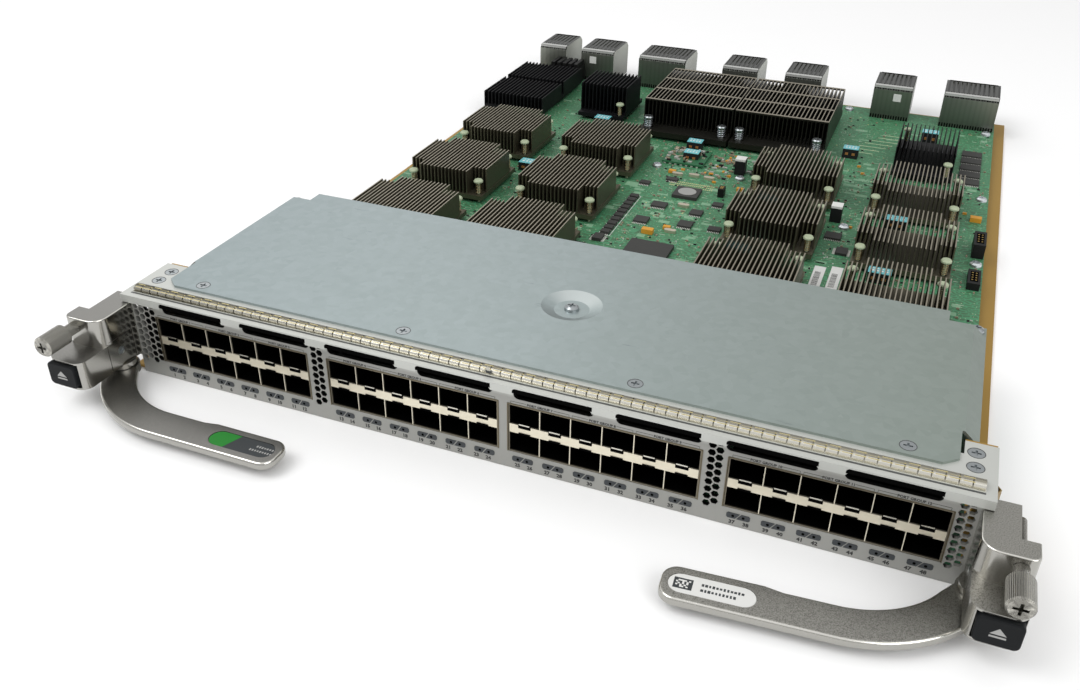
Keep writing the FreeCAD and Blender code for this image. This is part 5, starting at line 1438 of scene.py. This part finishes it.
@dataclass
class BoardDetails:
    """Small parts, leads, caps, springs and print on the board.

    Attributes:
        card: Card to work on.
        chance: Where the draws for the smallest parts come from.
        taken: Parts that stand on the board already.
        grid: Pitch of the grid of small parts, in millimetres.
        print_thick: Thickness of the print.
        cap_thick: Thickness of a sticker.
    """

    card: Card
    chance: random.Random = field(default_factory=lambda: random.Random(48))
    taken: list[Solid] = field(default_factory=list)
    grid: float = 1.5
    print_thick: float = 0.06 * MM
    cap_thick: float = 0.3 * MM

    def build(self) -> None:
        """Add all details of the board, from the largest to the smallest."""
        self.add_springs()
        self.add_caps()
        self.add_leads()
        self.add_lid()
        self.add_labels()
        self.add_row_frame()
        self.add_header_pins()
        self.add_cans()
        self.add_module()
        self.add_small_parts()

    def _take(self, left: float, right: float, near: float, far: float) -> None:
        """Keep a stretch of the board clear of smaller parts.

        Args:
            left: Lowest X.
            right: Highest X.
            near: Lowest Y.
            far: Highest Y.
        """
        self.taken.append(Solid(Vector((left, near, 0.0)), Vector((right, far, 0.0))))

    def _is_free(self, x: float, y: float, reach: float) -> bool:
        """Tell whether a spot on the board is clear of the parts that stand there.

        Args:
            x: X of the spot.
            y: Y of the spot.
            reach: Half of the new part's length.

        Returns:
            True if nothing stands there.
        """
        return not any(item.covers(x, y, reach) for item in self.taken)

    def add_springs(self) -> None:
        """Wind the springs under the push pins' caps and round the large sinks' screws."""
        for spring in SPRINGS:
            held = self.card.solids(spring.node)
            height = held[0].high.z - spring.seat - spring.head
            base = Workshop.coil("spring", (0.0, 0.0, spring.seat), spring.radius, spring.wire, height,
                                 spring.turns)
            spots = [(item.middle.x, item.middle.y, 0.0) for item in held]
            self.card.add(Workshop.repeated(spring.name, base, spots), spring.finish)

    def add_caps(self) -> None:
        """Cap the coils with their pale blue stickers, and the tall blocks with white ones."""
        caps, marks, windings, white = [], [], [], []
        lift, mark_lift, mark_thick = mm(0.1, 0.27, 0.04)
        for coil in self.card.solids("coil_modules"):
            mid, size, top = coil.middle, coil.size, coil.high.z
            caps.append(((mid.x, mid.y, top + lift), (size.x, size.y, self.cap_thick)))
            for step in range(4):
                x = coil.low.x + size.x * (0.2 + 0.2 * step)
                for along, deep in ((-0.1, 0.2), (0.25, 0.12)):
                    marks.append(((x, mid.y + size.y * along, top + mark_lift),
                                  (size.x * 0.11, size.y * deep, mark_thick)))
            windings += [((mid.x + side * size.x * 0.22, coil.low.y - 0.1 * MM, coil.low.z + size.z * 0.5),
                          (size.x * 0.2, 0.4 * MM, size.z * 0.25)) for side in (-1, 1)]
        for tall in self.card.solids("tall_capacitor_blocks"):
            mid, size, top = tall.middle, tall.size, tall.high.z
            white.append(((mid.x, mid.y, top + lift), (size.x, size.y, self.cap_thick)))
            white.append(((mid.x, tall.low.y - 0.05 * MM, top - 0.6 * MM), (size.x, 0.2 * MM, 1.3 * MM)))
        self.card.add(Workshop.boxes("coil_caps", caps), "cyan_cap")
        self.card.add(Workshop.boxes("coil_cap_marks", marks), "white_print")
        self.card.add(Workshop.boxes("coil_windings", windings), "copper")
        self.card.add(Workshop.boxes("block_caps", white), "white_print")

    def add_leads(self) -> None:
        """Solder leads along the long sides of the flat packages and the memory chips."""
        largest, pitch, reach = mm(16.0, 1.1, 0.4)
        wide, long, thick = mm(0.55, 2.6, 0.4)
        z = BOARD_TOP + thick / 2
        rows = []
        for chip in self.card.solids("flat_packages") + self.card.solids("memory_chips"):
            mid, size = chip.middle, chip.size
            self.taken.append(chip)
            if max(size.x, size.y) > largest:
                continue
            along_x = size.x >= size.y
            length, depth = (size.x, size.y) if along_x else (size.y, size.x)
            count = max(3, int(length / pitch))
            for step in range(count):
                offset = (step + 0.5) / count * length - length / 2
                for side in (-1, 1):
                    out = side * (depth / 2 + reach)
                    if along_x:
                        rows.append(((mid.x + offset, mid.y + out, z), (wide, long, thick)))
                    else:
                        rows.append(((mid.x + out, mid.y + offset, z), (long, wide, thick)))
        self.card.add(Workshop.boxes("chip_leads", rows), "lead_tin")

    def add_lid(self) -> None:
        """Set the round metal lid on the package in the middle."""
        lids = [Workshop.disc("lid", (chip.middle.x, chip.middle.y, chip.high.z + 0.1 * MM), 6.2 * MM,
                              self.cap_thick, "Z", 32)
                for chip in self.card.solids("flat_packages") if 16 * MM < chip.size.x < 20 * MM]
        self.card.add(Workshop.joined("package_lid", lids), "lid_steel")

    def add_labels(self) -> None:
        """Lay the two bar-coded labels on the board, with bars only."""
        plates, bars = [], []
        for x, y, width, length in ((103.4, 224.0, 6.6, 28.0), (113.0, 226.0, 6.6, 30.0)):
            spot, wide, long = on_board(x, y, 0.1), width * MM, length * MM
            plates.append((spot, (wide, long, 0.2 * MM)))
            self._take(spot[0] - wide / 2, spot[0] + wide / 2, spot[1] - long / 2, spot[1] + long / 2)
            for step in range(16):
                bar = 0.35 + 0.35 * self.chance.random()
                bars.append(((spot[0] - 0.4 * MM, spot[1] - (length / 2 - 3.0 - step * 1.15) * MM,
                              spot[2] + 0.12 * MM), mm(3.4, bar, 0.04)))
        self.card.add(Workshop.boxes("board_labels", plates), "white_print")
        self.card.add(Workshop.boxes("board_label_bars", bars), "ink")

    def add_row_frame(self) -> None:
        """Print the white frame round the long row of packages."""
        row = [chip for chip in self.card.solids("flat_packages")
               if chip.high.x < -26.5 * MM and chip.low.x > -33.5 * MM and chip.size.x < 6.5 * MM]
        left, right = row[0].low.x - 0.9 * MM, row[0].high.x + 0.9 * MM
        near, far = row[0].low.y - 1.2 * MM, row[-1].high.y + 1.2 * MM
        z, wide = BOARD_TOP + self.print_thick / 2, 0.4 * MM
        rows = [((x, (near + far) / 2, z), (wide, far - near, self.print_thick)) for x in (left, right)]
        rows += [(((left + right) / 2, y, z), (right - left, wide, self.print_thick)) for y in (near, far)]
        self.card.add(Workshop.boxes("row_frame", rows), "white_print")

    def add_header_pins(self) -> None:
        """Stand gilded pins in the side headers' sockets."""
        pins, wells = [], []
        for header in self.card.solids("side_headers"):
            mid, size, top = header.middle, header.size, header.high.z
            wells.append(((mid.x, mid.y, top + 0.03 * MM), (size.x * 0.62, size.y * 0.7, 0.06 * MM)))
            pins += [((mid.x + side * size.x * 0.15, mid.y + (row - 1.5) * size.y * 0.16, top + 0.1 * MM),
                      mm(0.9, 0.7, 0.12)) for row in range(4) for side in (-1, 1)]
        self.card.add(Workshop.boxes("header_wells", wells), "dark_gap")
        self.card.add(Workshop.boxes("header_pins", pins), "gold_pin")

    def add_cans(self) -> None:
        """Solder the oval metal cans near the middle package."""
        radius, half = 1.7, 2.2
        parts = []
        for x, y in ((-13.2, 341.6), (-1.7, 343.6), (9.4, 342.5), (7.8, 248.4), (5.2, 290.1)):
            corners = []
            for side, start in ((1, -90), (-1, 90)):
                for angle in (math.radians(start + step * 30) for step in range(7)):
                    corners.append(((x + side * half + radius * math.cos(angle)) * MM,
                                    FRONT + (y + radius * math.sin(angle)) * MM))
            parts.append(Workshop.prism("can", corners, BOARD_TOP, 1.9 * MM))
            self._take((x - 4) * MM, (x + 4) * MM, FRONT + (y - 2) * MM, FRONT + (y + 2) * MM)
        self.card.add(Workshop.joined("metal_cans", parts), "can_metal")

    def add_module(self) -> None:
        """Stand the small power board with its parts round the middle coils."""
        left, right, near, far, count = MODULE
        edge = 1.6
        low, top = BOARD_TOP + 1.0 * MM, BOARD_TOP + 2.2 * MM
        middle = ((left + right) / 2 * MM, FRONT + (near + far) / 2 * MM, (low + top) / 2)
        plate = Workshop.box("module_board", middle, ((right - left) * MM, (far - near) * MM, top - low))
        feet = [(on_board(x, y + 0.6, 0.5), mm(1.6, 1.2, 1.0))
                for y in (near, far - 1.2) for x in range(int(left) + 2, int(right), 4)]
        coils = [item for item in self.card.solids("coil_modules") if item.low.y > FRONT + near * MM]
        rows: dict[str, Rows] = {"ceramic": [], "solder": feet, "rubber_black": [], "can_metal": []}
        inner = Zone(left + edge, right - edge, near + edge, far - edge, count)
        for _ in range(count):
            x, y = inner.spot(self.chance)
            if any(item.covers(x, y, edge * MM) for item in coils):
                continue
            name = self.chance.choice(tuple(rows))
            length, width = self.chance.choice(((2.4, 1.4), (1.4, 2.4), (1.6, 1.0), (3.0, 2.2)))
            tall = self.chance.uniform(0.5, 1.5)
            rows[name].append(((x, y, top + tall * MM / 2), mm(length, width, tall)))
        self.card.add(plate, "module_green")
        for name, found in rows.items():
            self.card.add(Workshop.boxes(f"module_{name}", found), name)
        self._take(left * MM, right * MM, FRONT + near * MM, FRONT + far * MM)

    def add_small_parts(self) -> None:
        """Scatter chip resistors, capacitors, test pads and print over the open board."""
        for name in ("coil_modules", "tall_capacitor_blocks", "side_headers", "side_parts", "board_screws",
                     "cooled_packages", "push_pins", "sink_spring_screws", "power_connector",
                     "board_standoffs"):
            self.taken += [item for item in self.card.solids(name) if item.high.z > BOARD_TOP + 0.1 * MM]
        self.taken += [Solid(*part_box(f"backplane_connector_{index}")) for index in range(1, 8)]
        rows, ends = self._scatter()
        rows["gold_pad"] += [(on_board(-13.5 + column * 1.4, 323.5 + row * 3.4, 0.03), mm(0.9, 1.6, 0.06))
                             for column in range(22) for row in range(3)]
        rows["pale_trace"] = [(on_board(100.0 + index * 4.0, 440.0 + index * 7.5, 0.03), mm(20.0, 1.0, 0.06))
                              for index in range(7)]
        rows["pale_pad"] = self._lay_pads()
        rows["pale_pad"] += [
            (on_board(x, y, 0.02), mm(wide, deep, 0.03))
            for x, y, wide, deep in ((-38, 314, 9, 7), (-16, 283, 7, 5), (-5, 270, 6, 5), (5, 283, 7, 4),
                                     (13, 275, 6, 5), (-28, 262, 7, 4), (-40, 270, 6, 5), (18, 300, 6, 4),
                                     (-30, 300, 5, 4), (0, 262, 7, 4), (104, 372, 12, 4), (108, 384, 9, 3),
                                     (92, 398, 12, 3), (112, 356, 8, 4))]
        rows["orange"] = []
        self._crowd(rows, ends)
        rows["silkscreen"] += self._print_marks()
        rows["orange"] += [(on_board(x, y, 0.6), mm(2.6, 1.4, 1.2))
                           for x, y in ((108, 396), (104, 409), (-12, 352), (14, 338), (-110, 380),
                                        (179, 352),
                                        (112, 300), (-20, 396))]
        for name, found in rows.items():
            finish = "rubber_black" if name == "chip_part" else name
            self.card.add(Workshop.boxes(f"board_{name}", found), finish)
        self.card.add(Workshop.boxes("board_part_ends", ends), "solder")

    def _scatter(self) -> tuple[dict[str, Rows], Rows]:
        """Scatter the small parts over the open zones.

        Returns:
            Boxes of the parts by kind, and boxes of the soldered ends of the tall ones.
        """
        rows: dict[str, Rows] = {part.name: [] for part in SMALL_PARTS}
        ends: Rows = []
        for zone in OPEN_ZONES:
            for _ in range(zone.count):
                x, y = zone.spot(self.chance, self.grid)
                pick = self.chance.random()
                for name, length, width, height, share in SMALL_PARTS:
                    if pick < share:
                        break
                    pick -= share
                if not self._is_free(x, y, 1.3 * MM):
                    continue
                if self.chance.random() < 0.5:
                    length, width = width, length
                rows[name].append(((x, y, BOARD_TOP + height * MM / 2), mm(length, width, height)))
                if height > 0.3:
                    grow = 1.16 if length > width else 0.9
                    ends.append(((x, y, BOARD_TOP + height * MM * 0.22),
                                 mm(length * grow, width * (2.06 - grow), height * 0.4)))
        return rows, ends

    def _lay_pads(self) -> Rows:
        """Lay pale copper areas over the open board.

        Returns:
            Centre and size of each area.
        """
        pads = []
        for zone in OPEN_ZONES:
            for _ in range(zone.count // 4):
                x, y = zone.spot(self.chance)
                wide, deep = self.chance.uniform(3.0, 9.0) * MM, self.chance.uniform(1.5, 4.5) * MM
                if self._is_free(x, y, wide / 2):
                    pads.append(((x, y, BOARD_TOP + 0.01 * MM), (wide, deep, 0.02 * MM)))
        return pads

    def _crowd(self, rows: dict[str, Rows], ends: Rows) -> None:
        """Crowd larger parts round the tall block and behind the middle of the board.

        Args:
            rows: Boxes of small parts by kind, which grow.
            ends: Boxes of soldered ends, which grow.
        """
        for zone in CROWDED_ZONES:
            for _ in range(zone.count):
                x, y = zone.spot(self.chance)
                name = self.chance.choice(("ceramic", "chip_part", "orange", "solder", "ceramic"))
                length, width = self.chance.choice(((2.6, 1.5), (1.5, 2.6), (3.2, 1.8)))
                tall = self.chance.uniform(0.6, 1.4)
                if self._is_free(x, y, 1.8 * MM):
                    rows[name].append(((x, y, BOARD_TOP + tall * MM / 2), mm(length, width, tall)))
                    ends.append(((x, y, BOARD_TOP + tall * MM * 0.2),
                                 mm(length * 1.2, width * 0.9, tall * 0.4)))

    def _print_marks(self) -> Rows:
        """Lay out printed frames and words-like dashes over the open board.

        Returns:
            Centre and size of each mark.
        """
        marks = []
        z, thin, line = BOARD_TOP + self.print_thick / 2, self.print_thick, 0.3 * MM
        for zone in OPEN_ZONES:
            for step in range(zone.count // 3):
                x, y = zone.spot(self.chance)
                if not self._is_free(x, y, 2.4 * MM):
                    continue
                if step % 3:
                    marks.append(((x, y, z), (self.chance.uniform(2.0, 5.0) * MM, 0.7 * MM, thin)))
                else:
                    wide, deep = self.chance.uniform(2.4, 4.4) * MM, self.chance.uniform(2.4, 4.4) * MM
                    marks += [((x, y + side * deep / 2, z), (wide, line, thin)) for side in (-1, 1)]
                    marks += [((x + side * wide / 2, y, z), (line, deep, thin)) for side in (-1, 1)]
        return marks


@dataclass
class RearDetails:
    """Contact rows and bare stickers on the backplane connectors.

    Attributes:
        card: Card to work on.
        contact_pitch: Least pitch of the contacts.
        sticker: Side of a sticker.
    """

    card: Card
    contact_pitch: float = 1.9 * MM
    sticker: float = 6.0 * MM

    def __post_init__(self) -> None:
        """Find the seven connectors."""
        self.plugs = [Solid(*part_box(f"backplane_connector_{index}")) for index in range(1, 8)]

    def build(self) -> None:
        """Add all details of the connectors."""
        self.add_contacts()
        self.add_stickers()

    def add_contacts(self) -> None:
        """Add the dashes along each top edge, the dark pins along each foot, and painted highlights along
        each top front edge.
        """
        dashes, feet, strips = [], [], []
        for plug in self.plugs:
            width, x_middle, top, front = plug.size.x, plug.middle.x, plug.high.z, plug.low.y
            count = int(width / self.contact_pitch)
            for step in range(count):
                x = plug.low.x + (step + 0.5) * width / count
                dashes.append(((x, front + 5.8 * MM, top + 0.05 * MM), mm(0.7, 1.4, 0.1)))
                dashes.append(((x, front - 0.04 * MM, top - 2.2 * MM), mm(0.9, 0.1, 0.8)))
                feet.append(((x, front - 0.2 * MM, BOARD_TOP + 1.6 * MM), mm(0.9, 0.5, 3.0)))
            # Painted highlights: pale strips on the top and the front along each rounded top front edge.
            strips.append(((x_middle, front + 2.6 * MM, top + 0.03 * MM), (width * 0.97, 4.4 * MM, 0.1 * MM)))
            strips.append(((x_middle, front - 0.03 * MM, top - 0.8 * MM), (width * 0.97, 0.1 * MM, 1.4 * MM)))
            dashes.append(((x_middle, plug.high.y - 4.5 * MM, top + 0.03 * MM),
                           (width * 0.9, 2.4 * MM, 0.1 * MM)))
        self.card.add(Workshop.boxes("connector_dashes", dashes), "dark_gap")
        self.card.add(Workshop.boxes("connector_pins", feet), "dark_gap")
        self.card.add(Workshop.boxes("connector_highlights", strips), "highlight_strip")

    def add_stickers(self) -> None:
        """Put a bare sticker on two connectors' front faces."""
        rows = []
        for plug, shift in ((self.plugs[1], -4.0 * MM), (self.plugs[5], 4.0 * MM)):
            rows.append(((plug.middle.x + shift, plug.low.y - 0.1 * MM, plug.high.z - 8.5 * MM),
                         (self.sticker, 0.2 * MM, self.sticker)))
        self.card.add(Workshop.boxes("connector_stickers", rows), "white_print")


@dataclass(frozen=True)
class Lamp:
    """A soft light.

    Attributes:
        name: Its name.
        spot: Where it hangs.
        aim: Where it points.
        size: Its width.
        power: Its power in watts.
    """

    name: str
    spot: Spot
    aim: Spot
    size: float
    power: float


LAMPS = (Lamp("Key", (-0.9, -0.9, 1.5), (0.0, 0.0, 0.0), 1.1, 13.0),
         Lamp("Fill", (1.3, -1.0, 1.0), (0.0, -0.1, 0.0), 1.2, 11.0),
         Lamp("Back", (-1.3, 1.2, 1.1), (-0.1, 0.0, 0.0), 1.4, 4.0))


@dataclass
class Studio:
    """Camera, lights, sky and floor.

    Attributes:
        shaders: Where the floor's material comes from.
        lens: Focal length in millimetres.
        film: Width of the film in millimetres.
        stand: Where the camera stands.
        pan: Its turn about Z, in degrees.
        tilt: How far it looks down, in degrees.
        roll: Its turn about its own line of sight, in degrees.
        floor_size: Width of the floor.
    """

    shaders: ShaderKit
    lens: float = 34.079333
    film: float = 36.0
    stand: Spot = (0.1495, -0.6101, 0.2840)
    pan: float = 21.698
    tilt: float = 31.681
    roll: float = 0.712
    floor_size: float = 8.0

    def build(self) -> None:
        """Set up the whole studio."""
        self._add_camera()
        for lamp in LAMPS:
            self._add_light(lamp)
        self._add_sky()
        self._add_floor()
        bpy.context.scene.view_settings.view_transform = "Standard"

    def _add_camera(self) -> None:
        """Stand the camera before the card's right half, looking down on it."""
        view = bpy.data.cameras.new("Camera")
        view.lens = self.lens
        view.sensor_width = self.film
        view.clip_start = 0.01
        camera = bpy.data.objects.new("Camera", view)
        bpy.context.collection.objects.link(camera)
        turn = (Matrix.Rotation(math.radians(self.pan), 4, "Z")
                @ Matrix.Rotation(math.radians(90 - self.tilt), 4, "X")
                @ Matrix.Rotation(math.radians(self.roll), 4, "Z"))
        camera.matrix_world = Matrix.Translation(self.stand) @ turn
        bpy.context.scene.camera = camera

    @staticmethod
    def _add_light(lamp: Lamp) -> None:
        """Hang one soft light.

        Args:
            lamp: Light to hang.
        """
        light = bpy.data.lights.new(lamp.name, "AREA")
        light.size = lamp.size
        light.energy = lamp.power
        holder = bpy.data.objects.new(lamp.name, light)
        bpy.context.collection.objects.link(holder)
        holder.location = lamp.spot
        holder.rotation_euler = (Vector(lamp.aim) - Vector(lamp.spot)).to_track_quat("-Z", "Y").to_euler()

    @staticmethod
    def _add_sky() -> None:
        """Light the card from all round, more from above than from the side."""
        side, above = (0.36, 0.36, 0.36), (1.0, 1.0, 1.0)
        world = bpy.data.worlds.new("Studio")
        world.use_nodes = True
        sky = Graph(world.node_tree)
        climb = sky.band(sky.axes("Generated")["Z"], 0.05, 0.85)
        background = world.node_tree.nodes["Background"].inputs
        sky.feed(background["Color"], sky.over(climb, side, above))
        sky.feed(background["Strength"], 0.92)
        bpy.context.scene.world = world

    def _add_floor(self) -> None:
        """Lay a pale floor just under the card."""
        bpy.ops.object.select_all(action="DESELECT")
        bpy.ops.mesh.primitive_plane_add(size=self.floor_size, location=(0.0, 0.0, -0.2 * MM))
        floor = bpy.context.object
        floor.name = "floor"
        floor.data.materials.append(self.shaders.material("floor", DETAIL_FINISHES["floor"][1]))


def main() -> None:
    """Build the looks of the card round its frame."""
    logging.basicConfig(level=logging.INFO, format="%(name)s: %(message)s")
    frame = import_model()
    shaders = ShaderKit()
    card = Card(frame, shaders)
    card.dress()
    for details in (FrontDetails(card), EjectorDetails(card), BoardDetails(card), RearDetails(card)):
        details.build()
    Studio(shaders).build()
    LOG.info("added %d pieces", len(card.added))


if __name__ == "__main__":
    main()
